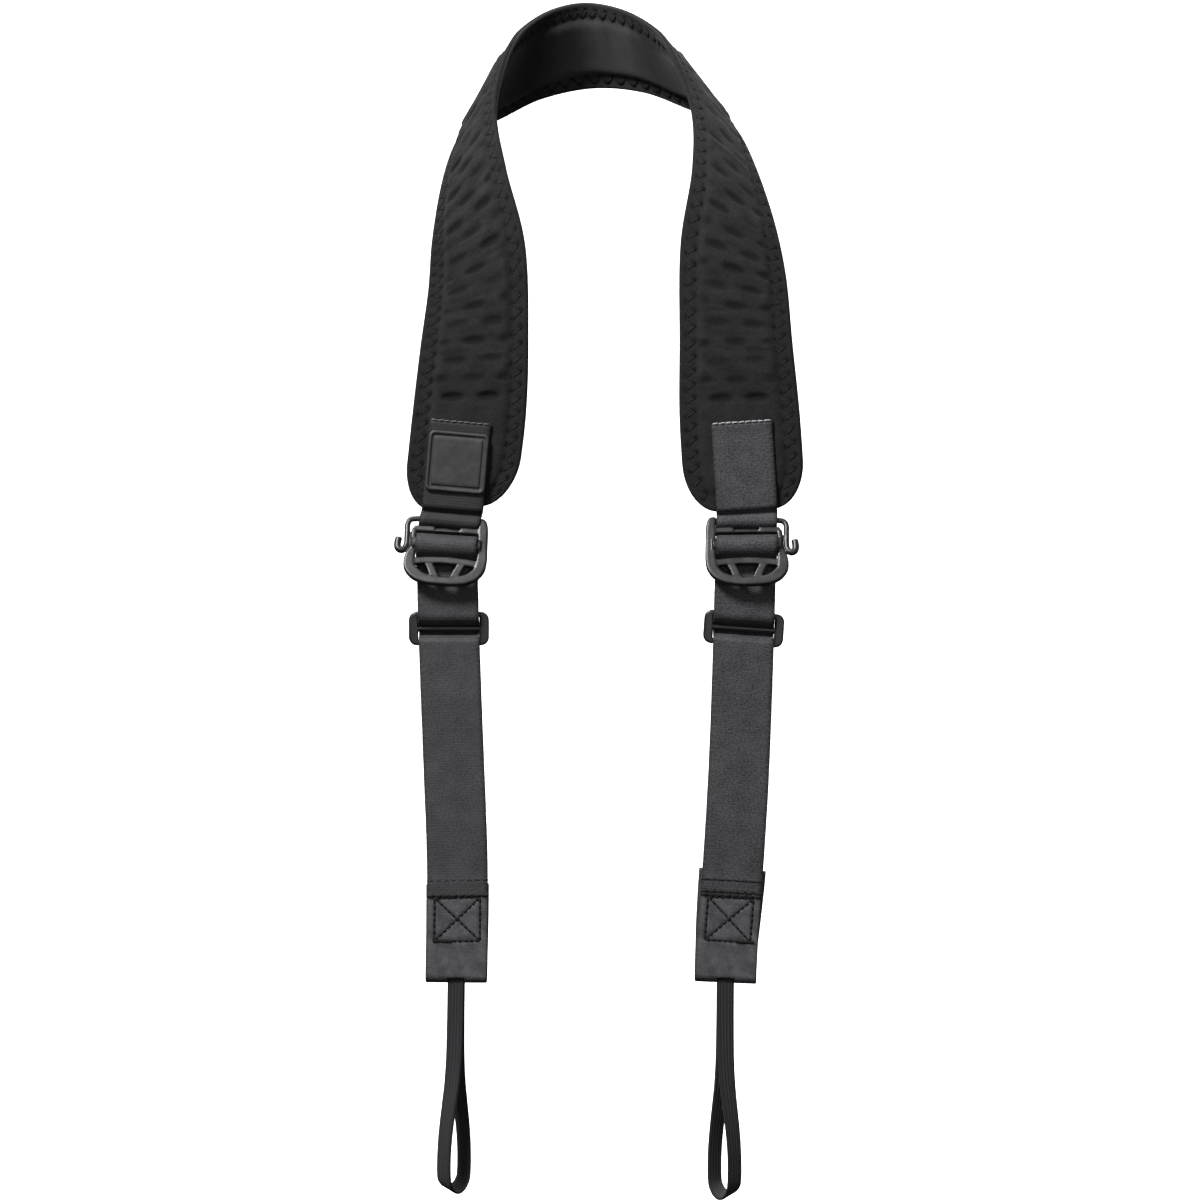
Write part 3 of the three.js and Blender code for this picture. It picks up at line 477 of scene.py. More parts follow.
def show(name, bm, finish, slot, *nodes):
    """Makes a piece and lets it ride on the one body, in the place of its solids."""
    piece = add_mesh(name, bm, finish)
    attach(piece, "root")
    if nodes:
        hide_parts(*nodes)
    return piece


# Stitch: sides of its thread, rings along it, height of its arch, depth of its ends and width of its tips
STITCH_SIDES = 6
STITCH_RINGS = (0, 0.12, 0.5, 0.88, 1)
STITCH_ARCH = 3.4
STITCH_SINK = 0.9
STITCH_TIP = 0.6


def show_stitches(name, stitches, radius, finish, slot):
    """Threads lying on a surface: each from one needle hole to the next, arched, with both ends sunk."""
    angles = [2 * math.pi * k / STITCH_SIDES for k in range(STITCH_SIDES)]
    bm = bmesh.new()
    for start, end, up in stitches:
        aside = (end - start).normalized().cross(up).normalized()
        rings = []
        for t in STITCH_RINGS:
            arch = radius * (STITCH_ARCH * math.sqrt(max(t * (1 - t), 0)) - STITCH_SINK)
            centre = start.lerp(end, t) + up * arch
            wide = radius * (1 if 0 < t < 1 else STITCH_TIP)
            rings.append([centre + (aside * math.cos(a) + up * math.sin(a)) * wide for a in angles])
        skin(bm, rings)
    show(name, bm, finish, slot)


def flat_section(width, thick, round_by, steps):
    """Ring of a flat band's cross-section: across and lift, with round edges."""
    half, lift = width / 2 - round_by, thick / 2
    ring = [(mix(-half, half, k / steps), lift) for k in range(steps + 1)]
    turn = [math.pi / 2 * (1 - k / 2) for k in range(1, 4)]
    ring += [(half + round_by * math.cos(angle), lift * math.sin(angle)) for angle in turn]
    return ring + [(-across, -up) for across, up in ring]


def round_flats(section, run):
    """Flat places of one ring: the way round the section and the length run, in millimetres."""
    around, flats = 0, []
    for (a0, l0), (a1, l1) in zip(section, [*section[1:], section[0]]):
        flats.append((around / MM, run / MM))
        around += math.hypot(a1 - a0, l1 - l0)
    return [*flats, (around / MM, run / MM)]


def band(side, route, section, shape=None):
    """Flat band along a side-view route of one leg. shape gives the sideways stretch and lift of a row."""
    rings, flats = [], []
    for y, z, out, run in route:
        ring = []
        for across, up in section:
            stretch, lift = shape(run, across) if shape else (1, 0)
            rise = up + lift
            ring.append(hang(side, across * stretch, y + rise * out[0], z + rise * out[1]))
        rings.append(ring)
        flats.append(round_flats(section, run))
    return skin(bmesh.new(), rings, flats)


# Materials

def linear(code):
    """An sRGB hex colour as linear RGBA."""
    parts = [int(code[i : i + 2], 16) / 255 for i in (0, 2, 4)]
    return (*(c / 12.92 if c <= 0.04045 else ((c + 0.055) / 1.055) ** 2.4 for c in parts), 1)


def node(tree, kind, settings=(), **sockets):
    """Adds a node with its settings. A socket is named by its label, or i and its number, and is given
    a value or the output that links to it."""
    made = tree.nodes.new("ShaderNode" + kind)
    for name, value in dict(settings).items():
        setattr(made, name, value)
    for name, value in sockets.items():
        numbered = name[0] == "i" and name[1:].isdigit()
        socket = made.inputs[int(name[1:])] if numbered else made.inputs[name.replace("_", " ")]
        if isinstance(value, bpy.types.NodeSocket):
            tree.links.new(value, socket)
        else:
            socket.default_value = value
    return made.outputs[0] if made.outputs else made


def new_finish(name):
    """An empty material with its shader."""
    finish = bpy.data.materials.new(name)
    finish.use_nodes = True
    tree = finish.node_tree
    shader = tree.nodes["Principled BSDF"]
    return finish, tree, shader


def math_node(operation, value, *more):
    """Arithmetic on an output, in the tree that the output belongs to."""
    others = {f"i{k}": other for k, other in enumerate(more, start=1)}
    return node(value.id_data, "Math", {"operation": operation}, i0=value, **others)


def times(a, b):
    return math_node("MULTIPLY", a, b)


def plus(a, b):
    return math_node("ADD", a, b)


def wave(value, pitch):
    """Sine of a length in millimetres, one ridge to each pitch."""
    return math_node("SINE", times(value, 2 * math.pi / pitch))


def blend(share, low, high):
    """Colour between two by a share. A colour is an output or an sRGB hex code."""
    low, high = (linear(colour) if isinstance(colour, str) else colour for colour in (low, high))
    return node(share.id_data, "Mix", {"data_type": "RGBA"}, i0=share, i6=low, i7=high).node.outputs[2]


def ramp(value, low, high, to_low=0.0, to_high=1.0):
    """Maps the range from low to high onto another, and holds its ends."""
    ends = {"From_Min": low, "From_Max": high, "To_Min": to_low, "To_Max": to_high}
    return node(value.id_data, "MapRange", {}, Value=value, **ends)


def speckle(place, size, detail=2.0, roughness=0.55):
    """Noise whose lumps are about size across, in the place's units."""
    settings = {"Scale": 1 / size, "Detail": detail, "Roughness": roughness}
    return node(place.id_data, "TexNoise", {}, Vector=place, **settings)


def mottle(grain, low, high):
    """Spreads the usual range of a noise between two shares."""
    return ramp(grain, 0.3, 0.7, low, high)


def cloth_places(tree):
    """Place on the flat cloth in millimetres: the pair, across and along."""
    pair = node(tree, "UVMap", {"uv_map": "cloth"})
    parts = node(tree, "SeparateXYZ", {}, Vector=pair).node.outputs
    return pair, parts[0], parts[1]


def solid_place(tree):
    """Place in the solid in metres."""
    return node(tree, "TexCoord").node.outputs["Object"]


def edge_band(around, width, thick, round_by, reach):
    """1 at both edges of a flat band, down to 0 at a reach from them, by the way round its section."""
    bend = math.pi / 2 * (round_by + thick / 2)
    half_way = (width - 2 * round_by + bend) / MM
    turned = wave(plus(around, bend / 2 / MM), 2 * half_way)
    inward = math_node("ABSOLUTE", turned)
    inner = math.sin(math.pi * (reach + bend / 2) / MM / half_way)
    return ramp(inward, inner / 3, inner, 1, 0)


def painted_shade_of(tree):
    """Share of painted shade that the mesh stores on its points."""
    return node(tree, "Attribute", {"attribute_name": "painted_shade"}).node.outputs["Fac"]


def finish_shader(shader, colour, height, distance, **constants):
    """Links a colour and a relief of some depth to the shader, and sets its other sockets."""
    tree = shader.id_data
    tree.links.new(colour, shader.inputs["Base Color"])
    relief = node(tree, "Bump", {}, Height=height, Distance=distance, Strength=1.0)
    tree.links.new(relief, shader.inputs["Normal"])
    for name, value in constants.items():
        shader.inputs[name.replace("_", " ")].default_value = value


def pad_knit():
    """Foam-backed polyester knit, pressed with vents: matt black, a fine loop grain, with painted shade in
    the dents.
    """
    finish, tree, shader = new_finish("pad_foam_backed_knit")
    pair, across, along = cloth_places(tree)
    # loops 0.7 mm apart on the real knit, drawn 1.3 mm so that they show
    loops = times(wave(across, 1.3), wave(along, 1.3))
    fuzz = speckle(pair, 1.4, 4, 0.7)
    patches = speckle(pair, 7, 3, 0.65)
    share = plus(mottle(patches, 0.1, 0.9), times(loops, 0.08))
    share = plus(share, mottle(fuzz, -0.35, 0.35))
    tone = blend(share, "141415", "212122")
    # Painted shade in the dents and needle holes, darker over the border and along the rim, as the mesh
    # gives it
    tone = blend(ramp(painted_shade_of(tree), 0.05, 1), tone, "0d0d0e")
    height = plus(times(loops, 0.15), fuzz)
    finish_shader(
        shader, tone, height, 0.4 * MM,
        Roughness=0.92, Specular_IOR_Level=0.15, Sheen_Weight=0.03, Sheen_Roughness=0.6,
    )
    return finish


def lining_knit():
    """Brushed polyester lining: charcoal, smooth, with a soft sheen, a darker sewn border and painted
    shade in its dents and on each side of the nape.
    """
    finish, tree, shader = new_finish("lining_brushed_knit")
    pair, *_ = cloth_places(tree)
    fuzz = speckle(pair, 0.9, 3)
    patches = speckle(pair, 18, 3)
    share = plus(mottle(patches, 0.1, 0.8), mottle(fuzz, -0.2, 0.2))
    tone = blend(share, "2a2a2b", "3c3c3e")
    # Painted shade in the dents, the needle holes and on each side of the nape, darker over the border and
    # along the rim, as the mesh gives it
    tone = blend(ramp(painted_shade_of(tree), 0.03, 0.8), tone, "141415")
    finish_shader(
        shader, tone, fuzz, 0.12 * MM,
        Roughness=0.85, Specular_IOR_Level=0.2, Sheen_Weight=0.06, Sheen_Roughness=0.5,
    )
    return finish


def woven_webbing(name, dark, light, ribbing, fuzziness):
    """Woven nylon webbing: small crossing ribs, a satin gleam, worn fuzz and dark looped selvedges."""
    finish, tree, shader = new_finish(name)
    pair, across, along = cloth_places(tree)
    # yarns 0.5 mm apart on the real webbing, drawn 1.1 mm apart along it so that they show
    ribs = wave(along, 1.1)
    fibre = speckle(pair, 0.8, 3, 0.7)
    wear_and_shade = speckle(pair, 9, 3)
    fuzz = mottle(fibre, 0.5 - fuzziness, 0.5 + fuzziness)
    share = plus(times(ribs, 0.06), fuzz)
    share = plus(share, ramp(wear_and_shade, 0.35, 0.65, -0.12, 0.12))
    tone = blend(share, dark, light)
    # selvedge loops 1.2 mm apart on the real webbing, drawn 2.4 mm apart so that they show
    loops = ramp(wave(along, 2.4), -1, 1, 0.35, 1)
    selvedge = edge_band(across, WEBBING_WIDTH, WEBBING_THICK, SELVEDGE, 1.2 * MM)
    selvedge = times(selvedge, loops)
    tone = blend(times(selvedge, 0.75), tone, "0e0e0f")
    height = plus(times(ribs, ribbing), plus(fibre, times(selvedge, -0.6)))
    finish_shader(
        shader, tone, height, 0.1 * MM,
        Roughness=0.68, Specular_IOR_Level=0.25, Sheen_Weight=0.04, Sheen_Roughness=0.45,
    )
    return finish


def tab_leather():
    """Coated leather: dark grey, a close pebble grain, half matt, rubbed paler, with dark cut edges."""
    finish, tree, shader = new_finish("tab_coated_leather")
    pair, across, _ = cloth_places(tree)
    # pebbles 0.5 mm across on the real grain, drawn 0.9 mm so that they show
    grain = node(tree, "TexVoronoi", {"feature": "DISTANCE_TO_EDGE"}, Vector=pair, Scale=1 / 0.9)
    rubbed = speckle(pair, 6, 4, 0.65)
    share = plus(mottle(rubbed, -0.2, 1.2), ramp(grain, 0, 0.35, -0.2, 0.15))
    tone = blend(share, "333336", "4a4a4d")
    edge = edge_band(across, TAB_WIDTH, WEBBING_THICK, TAB_EDGE, 0.9 * MM)
    tone = blend(times(edge, 0.7), tone, "161617")
    pebbles = ramp(grain, 0, 0.3)
    finish_shader(shader, tone, pebbles, 0.08 * MM, Roughness=0.55, Specular_IOR_Level=0.3)
    return finish


def knitted_tape():
    """Flat knitted polyester tape: black, fine ribs along its length, soft and dull."""
    finish, tree, shader = new_finish("loop_knitted_tape")
    pair, across, _ = cloth_places(tree)
    # ribs 0.8 mm apart on the real tape, drawn 1.3 mm so that they show
    ribs = wave(across, 1.3)
    fibre = speckle(pair, 0.8, 3)
    share = plus(ramp(ribs, -1, 1, 0.3, 0.7), mottle(fibre, -0.2, 0.2))
    tone = blend(share, "18181a", "303032")
    edge = edge_band(across, TAPE_WIDTH, TAPE_THICK, TAPE_EDGE, 0.9 * MM)
    tone = blend(times(edge, 0.6), tone, "0e0e0f")
    finish_shader(
        shader, tone, plus(ribs, fibre), 0.09 * MM,
        Roughness=0.8, Specular_IOR_Level=0.2, Sheen_Weight=0.04,
    )
    return finish


def moulded_plastic(name, dark, light, roughness, scuffs):
    """Moulded nylon: black, satin from the tool's fine spark texture, with faint pale scuffs."""
    finish, tree, shader = new_finish(name)
    place = solid_place(tree)
    # spark texture 0.15 mm across on the real tool, drawn 0.4 mm so that it shows
    grit = speckle(place, 0.4 * MM, 2)
    rubbed = speckle(place, 5 * MM, 5, 0.7)
    tone = blend(ramp(rubbed, 0.45, 0.75, 0, scuffs), dark, light)
    finish_shader(shader, tone, grit, 0.03 * MM, IOR=1.48)
    gloss = mottle(rubbed, roughness - 0.06, roughness + 0.08)
    tree.links.new(gloss, shader.inputs["Roughness"])
    return finish


def patch_rubber():
    """Moulded soft rubber: black, matt, finely pebbled, with dust in the grain."""
    finish, tree, shader = new_finish("patch_moulded_rubber")
    place = solid_place(tree)
    grain = speckle(place, 0.6 * MM, 3)
    dust = speckle(place, 6 * MM, 4)
    share = plus(ramp(dust, 0.4, 0.7, 0, 0.7), mottle(grain, -0.1, 0.2))
    tone = blend(share, "151516", "2c2c2e")
    finish_shader(shader, tone, grain, 0.1 * MM, Roughness=0.6)
    return finish


def twisted_thread(name, dark, light):
    """Polyester sewing thread: lightly mottled by its twist, and dull."""
    finish, tree, shader = new_finish(name)
    place = solid_place(tree)
    twist = speckle(place, 0.35 * MM, 2)
    tone = blend(ramp(twist, 0.3, 0.7), dark, light)
    finish_shader(shader, tone, twist, 0.05 * MM, Roughness=0.8, Specular_IOR_Level=0.2)
    return finish


def studio_paper():
    """Seamless paper sweep: matt white, glowing a little so that it stays pale from every side."""
    finish, _, shader = new_finish("studio_paper")
    shader.inputs["Base Color"].default_value = linear("f4f4f4")
    shader.inputs["Emission Color"].default_value = linear("f4f4f4")
    shader.inputs["Emission Strength"].default_value = 0.8
    shader.inputs["Roughness"].default_value = 0.95
    return finish


PAD = pad_knit()
LINING = lining_knit()
STRAP_WEBBING = {
    "left": woven_webbing("webbing_woven_nylon", "1f1f21", "404042", 0.18, 0.45),
    "right": woven_webbing("webbing_woven_nylon_worn", "171719", "464649", 0.12, 0.55),
}
# The left anchor takes a darker copy of the webbing: painted shade below the patch and the collar's end
ANCHOR_WEBBING = {
    "left": woven_webbing("webbing_woven_nylon_shaded", "151516", "2b2b2d", 0.18, 0.45),
    "right": STRAP_WEBBING["right"],
}
LEATHER = tab_leather()
TAPE = knitted_tape()
BUCKLE = moulded_plastic("buckle_moulded_nylon", "101011", "2b2b2d", 0.4, 0.6)
SLIDER = moulded_plastic("slider_moulded_nylon", "0f0f10", "29292b", 0.34, 0.35)
PATCH = patch_rubber()
DARK_THREAD = twisted_thread("sewing_thread_black", "101011", "1f1f20")
TAB_THREAD = twisted_thread("sewing_thread_deep_black", "111112", "202022")
HEM_THREAD = {
    "left": twisted_thread("sewing_thread_grey", "39393b", "6a6a6d"),
    "right": twisted_thread("sewing_thread_worn_grey", "6a6a6d", "b8b8bb"),
}


# Camera

def set_camera():
    camera = bpy.data.cameras.new("camera")
    camera.lens = CAMERA_LENS
    camera.sensor_width = CAMERA_SENSOR
    holder = add_object("camera", camera)
    holder.location = CAMERA_PLACE
    holder.rotation_euler = (math.pi / 2, 0, 0)
    bpy.context.scene.camera = holder


# Tape loops

def loop_line(side):
    """Middle of a tape loop's line and its wide direction, from inside the tab and back to it."""
    sign = SIGN[side]
    low, reach, turn = LOOP_ROWS[-1]
    angles = [math.pi * k / LOOP_BEND_STEPS for k in range(1, LOOP_BEND_STEPS)]
    bend = [(low + reach * math.sin(angle), reach * math.cos(angle), turn) for angle in angles]
    back = [(drop, -spread, turn) for drop, spread, turn in reversed(LOOP_ROWS)]
    straight = [0] * len(LOOP_ROWS)
    leans = [*straight, *(LOOP_BEND_LEAN * math.sin(angle) for angle in angles), *straight]
    places, wides = [], []
    for (drop, spread, turn), lean in zip([*LOOP_ROWS, *bend, *back], leans):
        z = FOLD_Z - max(drop * LOOP_STRETCH[side], drop)
        apart = Vector((sign * math.sin(turn), -math.cos(turn), 0))
        places.append(Vector((plumb_at(side, z)[0], STRAP_Y, z)) + apart * spread)
        flat = Vector((sign * math.cos(turn), math.sin(turn), 0))
        wides.append(flat * math.cos(lean) + Vector((0, 0, math.sin(lean))))
    return places, wides


def tape_loop(side):
    """Flat tape: two strands in the tab, parting and turning on their way down."""
    places, wides = loop_line(side)
    steps = LOOP_SUBSTEPS * (len(places) - 1)
    line = [catmull_rom(places, k / steps) for k in range(steps + 1)]
    wides.append(wides[-1])
    turns = []
    for k in range(steps + 1):
        row, share = divmod(k, LOOP_SUBSTEPS)
        turns.append(wides[row].lerp(wides[row + 1], share / LOOP_SUBSTEPS).normalized())
    section = flat_section(TAPE_WIDTH, TAPE_THICK, TAPE_EDGE, 6)
    rings, flats, run = [], [], 0
    for i, (middle, wide) in enumerate(zip(line, turns)):
        before, after = line[max(i - 1, 0)], line[min(i + 1, steps)]
        run += (middle - before).length
        lift = (after - before).cross(wide).normalized()
        rings.append([middle + wide * across + lift * up for across, up in section])
        flats.append(round_flats(section, run))
    bm = skin(bmesh.new(), rings, flats)
    piece = show(f"{side}_tape_loop", bm, TAPE, "loop_tape", f"{side}_cord_loop")
    exit_point = Vector((plumb_at(side, FOLD_Z)[0], STRAP_Y, FOLD_Z))


# Collar pieces

def collar_layer(name, lift_at, way, inside, step, count, finish, slot, part):
    """One padded layer of the collar: its outer skin, closed by a flat inside near the middle surface."""
    rings, flats, pressed_and_shaded = [], [], []
    for section in collar_sections(step):
        columns = collar_columns(section.half, count)
        lifts = [lift_at(section, across) for across in columns]
        ring = [section.at(across, way * lift) for across, (lift, _) in zip(columns, lifts)]
        ring += [section.at(section.half * share, inside) for share in UNDERSIDE_SHARES]
        rings.append(ring)
        pressed_and_shaded.append([painted_shade for _, painted_shade in lifts] + [0] * len(UNDERSIDE_SHARES))
        along = section.length / MM
        flat = [(across / MM, along) for across in columns]
        flat += [(section.half * share / MM, along) for share in (*UNDERSIDE_SHARES, -1)]
        flats.append(flat)
    bm = skin(bmesh.new(), rings, flats, pressed_and_shaded)
    # the two ends are flat, so points of the skin and the inside can meet there
    bmesh.ops.remove_doubles(bm, verts=bm.verts, dist=1e-7)
    show(name, bm, finish, slot, part)


def collar_zigzag():
    """Zigzag thread along both borders, on the face and on the lining."""
    count = int((COLLAR_LENGTH - 4 * MM) / ZIGZAG_STEP)
    sections = [CollarSection(ZIGZAG_STEP * k) for k in range(1, count + 1)]
    for name, lift_at, way in (("face", face_lift, 1), ("lining", lining_lift, -1)):
        stitches = []
        for edge in (-1, 1):
            holes = []
            for k, section in enumerate(sections, start=1):
                across = edge * (section.half - ZIGZAG_ROWS[k % 2])
                lift = lift_at(section, across)[0] + 0.8 * pulled_by_needle(section, across)
                holes.append((section.at(across, way * lift), section.out * way))
            stitches += [(a, b, up) for (a, up), (b, _) in zip(holes, holes[1:])]
        show_stitches(f"collar_{name}_zigzag", stitches, ZIGZAG_RADIUS, DARK_THREAD, "pad_fabric")


# Webbing and tabs

def show_webbing(side, name, route, shape, finish):
    """A length of webbing along its route, held by the buckle."""
    section = flat_section(WEBBING_WIDTH, WEBBING_THICK, SELVEDGE, 14)
    bm = band(side, route, section, shape)
    piece = show(f"{side}_{name}", bm, finish, "webbing", f"{side}_{name}_webbing")


def stitch_row(side, width, ends, depth, z, count, share_drawn, wander, seed):
    """A row of stitches across the front of a leg. wander holds their greatest drift and its change."""
    row = []
    for k in range(count):
        drift = wander[0] * lumps(k * wander[1], seed, 0)
        near, far = (mix(*ends, (k + share) / count) * width for share in (0, share_drawn))
        row.append((hang(side, near, depth, z + drift), hang(side, far, depth, z - drift), FRONT))
    return row


def anchor_webbing(side):
    """Webbing sewn on the collar's end, down round the buckle's finger and up behind."""
    shoulder = (ANCHOR_LIFT - 1.6 * MM, -200.9 * MM, 1.6 * MM)
    pinch = (1.65 * MM, -204 * MM, 0.9 * MM)
    route = route_past_bars(
        (LEG_Y - ANCHOR_LIFT, ANCHOR_HEM),
        [
            (LEG_Y - shoulder[0], *shoulder[1:], 1),
            (LEG_Y - pinch[0], *pinch[1:], -1),
            (LEG_Y, FINGER_Z - 0.3 * MM, 2.4 * MM, 1),
            (LEG_Y + pinch[0], *pinch[1:], -1),
            (LEG_Y + shoulder[0], *shoulder[1:], 1),
        ],
        (LEG_Y + ANCHOR_LIFT, ANCHOR_BACK_END),
    )

    def shape(run, across):
        hem = 0.35 * MM * falloff(run - 1.2 * MM, 1.5 * MM)
        ripple = 0.25 * MM * lumps(run / (11 * MM), across / (9 * MM), 2.1)
        wavy = 1 + 0.012 * lumps(run / (4 * MM), 0.5, 8.2)
        return wavy, -hem - ripple * smoothstep(run, 2 * MM, 8 * MM)

    show_webbing(side, "anchor", route, shape, ANCHOR_WEBBING[side])


def anchor_hem_stitches(side):
    """Line of running stitches along the anchor's cut end, paler where they are worn."""
    front = LEG_Y - ANCHOR_LIFT - WEBBING_THICK / 2 - 0.3 * MM
    seed = 1.7 if side == "left" else 6.3
    low = ANCHOR_HEM - 0.2 * MM
    row = stitch_row(side, WEBBING_WIDTH, (-0.48, 0.48), front, low, 9, 0.9, (0.3 * MM, 0.83), seed)
    show_stitches(f"{side}_anchor_hem", row, 0.32 * MM, HEM_THREAD[side], "webbing")


def strap_webbing(side):
    """Strap from inside the tab through the slider, over the roll bar and back behind the slider's bar."""
    eye = SLIDER_CENTRE_BAR / 2 + GAP + 0.3 * MM + WEBBING_THICK / 2
    high = SLIDER_Z + RAIL_OFFSET
    arc_y = ROLL_Y + ARC_BAR_MIDDLE * math.sin(BUCKLE_TILT)
    arc_z = ROLL_Z + ARC_BAR_MIDDLE * math.cos(BUCKLE_TILT)
    route = route_past_bars(
        (STRAP_Y, STRAP_LOW_END),
        [
            (SLIDER_Y, SLIDER_Z - RAIL_OFFSET, RAIL_ROUTE, -1),
            (SLIDER_Y, SLIDER_Z, eye + LAYER_STEP, 1),
            (SLIDER_Y, high, RAIL_ROUTE, -1),
            (ROLL_Y, ROLL_Z, ROLL_BAR_RADIUS + 0.4 * MM + WEBBING_THICK / 2, 1),
            (arc_y, arc_z, ARC_BAR_ROUTE, -1),
            (SLIDER_Y, high, RAIL_ROUTE + LAYER_STEP, 1),
            (SLIDER_Y, SLIDER_Z, eye, -1),
        ],
        (SLIDER_Y + 1.6 * MM, SLIDER_Z - 1.3 * MM),
    )
    free_end = SLIDER_Z - SLIDER_HEIGHT - STRAP_LOW_END
    seed = 4.4 if side == "left" else 9.1

    def shape(run, across):
        free = smoothstep(run, 8 * MM, 26 * MM)
        free *= 1 - smoothstep(run, free_end - 16 * MM, free_end - 4 * MM)
        sag = 0.5 * MM * lumps(run / (34 * MM), 0.3, seed)
        ripple = 0.12 * MM * lumps(run / (7 * MM), across / (8 * MM), 1.9)
        wavy = 1 + 0.008 * lumps(run / (5 * MM), 0.5, 3.2)
        ridge = 0.3 * MM * falloff(run - 22.5 * MM, 1.6 * MM)
        return wavy, (sag + ripple) * free + ridge

    show_webbing(side, "strap", route, shape, STRAP_WEBBING[side])


# Box and cross of the tab's stitching: corners as shares of the box, stitched in this order
BOX_LINES = [
    ((0, 0), (1, 0)), ((1, 0), (1, 1)), ((1, 1), (0, 1)),
    ((0, 1), (0, 0)), ((0, 0), (1, 1)), ((1, 0), (0, 1)),
]
BOX_WIDTH = 18.6 * MM
BOX_TOP = -361.2 * MM
BOX_HEIGHT = 17.6 * MM
BOX_STITCH = 2.4 * MM
BOX_THREAD_RADIUS = 0.4 * MM


def distance_to_box(share_across, share_down):
    """How far a place of the tab is from the nearest line of its stitching."""
    size = Vector((BOX_WIDTH, BOX_HEIGHT))
    place = Vector((share_across, share_down)) * size
    nearest = 1
    for first, last in BOX_LINES:
        start, line = Vector(first) * size, (Vector(last) - Vector(first)) * size
        share = min(max((place - start).dot(line) / line.length_squared, 0), 1)
        nearest = min(nearest, (start + line * share - place).length)
    return nearest


def end_tab(side):
    """Leather folded round the strap's end, slotted at the fold for the tape, its back layer wider."""
    front_top, back_top = TAB_TOPS[side]
    fold_z = FOLD_Z + TAB_FOLD_RADIUS + WEBBING_THICK / 2
    route = route_past_bars(
        (STRAP_Y - TAB_TOP_SPREAD, front_top),
        [(STRAP_Y, fold_z, TAB_FOLD_RADIUS, 1)],
        (STRAP_Y + TAB_TOP_SPREAD, back_top),
        longest=0.6 * MM,
    )
    total = route[-1][3]
    fold_run = front_top - fold_z

    def shape(run, across):
        back = smoothstep(run, fold_run + 8 * MM, total)
        flare = 1 + 2 * TAB_FLARE[side] / TAB_WIDTH * back
        wavy = 1 + 0.006 * lumps(run / (9 * MM), 0.5, 5.6)
        soft = 0.16 * MM * lumps(run / (8 * MM), across / (8 * MM), 6.6)
        z = front_top - run if run < fold_run else back_top - total + run
        away = distance_to_box(across / BOX_WIDTH + 0.5, (BOX_TOP - z) / BOX_HEIGHT)
        return flare * wavy, soft + 0.3 * MM * falloff(away, 0.55 * MM)

    section = flat_section(TAB_WIDTH, WEBBING_THICK, TAB_EDGE, 50)
    bm = band(side, route, section, shape)
    x = plumb_at(side, FOLD_Z)[0]
    lowest = min(route, key=lambda row: row[1])[3]
    cloth = bm.loops.layers.uv["cloth"]
    in_slot = []
    for face in bm.faces:
        run = sum(loop[cloth].uv.y for loop in face.loops) / len(face.loops) * MM
        if abs(run - lowest) < TAB_SLOT and abs(face.calc_center_median().x - x) < TAB_SLOT:
            in_slot.append(face)
    bmesh.ops.delete(bm, geom=in_slot, context="FACES")
    bmesh.ops.bridge_loops(bm, edges=[edge for edge in bm.edges if edge.is_boundary])
    piece = show(f"{side}_tab", bm, LEATHER, "tab_leather", f"{side}_end_tab")


def tab_stitches(side):
    """Box and cross through both layers of the tab, with a bar tack at its lower outer corner."""
    stitches = []
    for way in (-1, 1):
        up = Vector((0, way, 0))

        def on_tab(share_across, share_down):
            z = BOX_TOP - share_down * BOX_HEIGHT
            spread = mix(TAB_TOP_SPREAD, TAB_FOLD_RADIUS, (BOX_TOP - z) / (BOX_TOP - FOLD_Z))
            y = STRAP_Y + way * (spread + WEBBING_THICK / 2 - 0.05 * MM)
            return hang(side, (share_across - 0.5) * BOX_WIDTH, y, z)

        for (a0, d0), (a1, d1) in BOX_LINES:
            start, end = on_tab(a0, d0), on_tab(a1, d1)
            count = round((end - start).length / BOX_STITCH)
            for k in range(count):
                share_0, share_1 = k / count, (k + 0.97) / count
                first = on_tab(mix(a0, a1, share_0), mix(d0, d1, share_0))
                last = on_tab(mix(a0, a1, share_1), mix(d0, d1, share_1))
                stitches.append((first, last, up))
        for k in range(9):
            across = mix(-0.04, 0.34, k / 8)
            across = across if side == "left" else 1 - across
            jog = 0.05 * lumps(k * 1.9, way, 0.2)
            stitches.append((on_tab(across, 0.98 + jog), on_tab(across + 0.06, 1.05 - jog), up))
    show_stitches(f"{side}_tab_stitches", stitches, BOX_THREAD_RADIUS, TAB_THREAD, "tab_leather")


def tab_top_thread(side):
    """Thick thread whipped along the tab's front top edge, and a thin row across the strap above it."""
    top = TAB_TOPS[side][0]
    y = STRAP_Y - TAB_TOP_SPREAD - WEBBING_THICK / 2 + 0.1 * MM
    rows = [(0.1, y, 0.6), (6.2, STRAP_Y - WEBBING_THICK / 2 + 0.1 * MM, 0.28)]
    if side == "right":
        rows.append((1.5, y, 0.6))
    for number, (above, depth, radius) in enumerate(rows):
        seed = number + (2.2 if side == "left" else 7.4)
        z = top + above * MM
        row = stitch_row(side, TAB_WIDTH, (-0.5, 0.49), depth, z, 8, 1.15, (0.5 * MM, 0.71), seed)
        name = f"{side}_tab_top_thread_{number + 1}"
        show_stitches(name, row, radius * MM, TAB_THREAD, "tab_leather")


# Hook buckles and sliders, drawn flat in X and Z millimetres: roll bar at the origin, outer side at +x

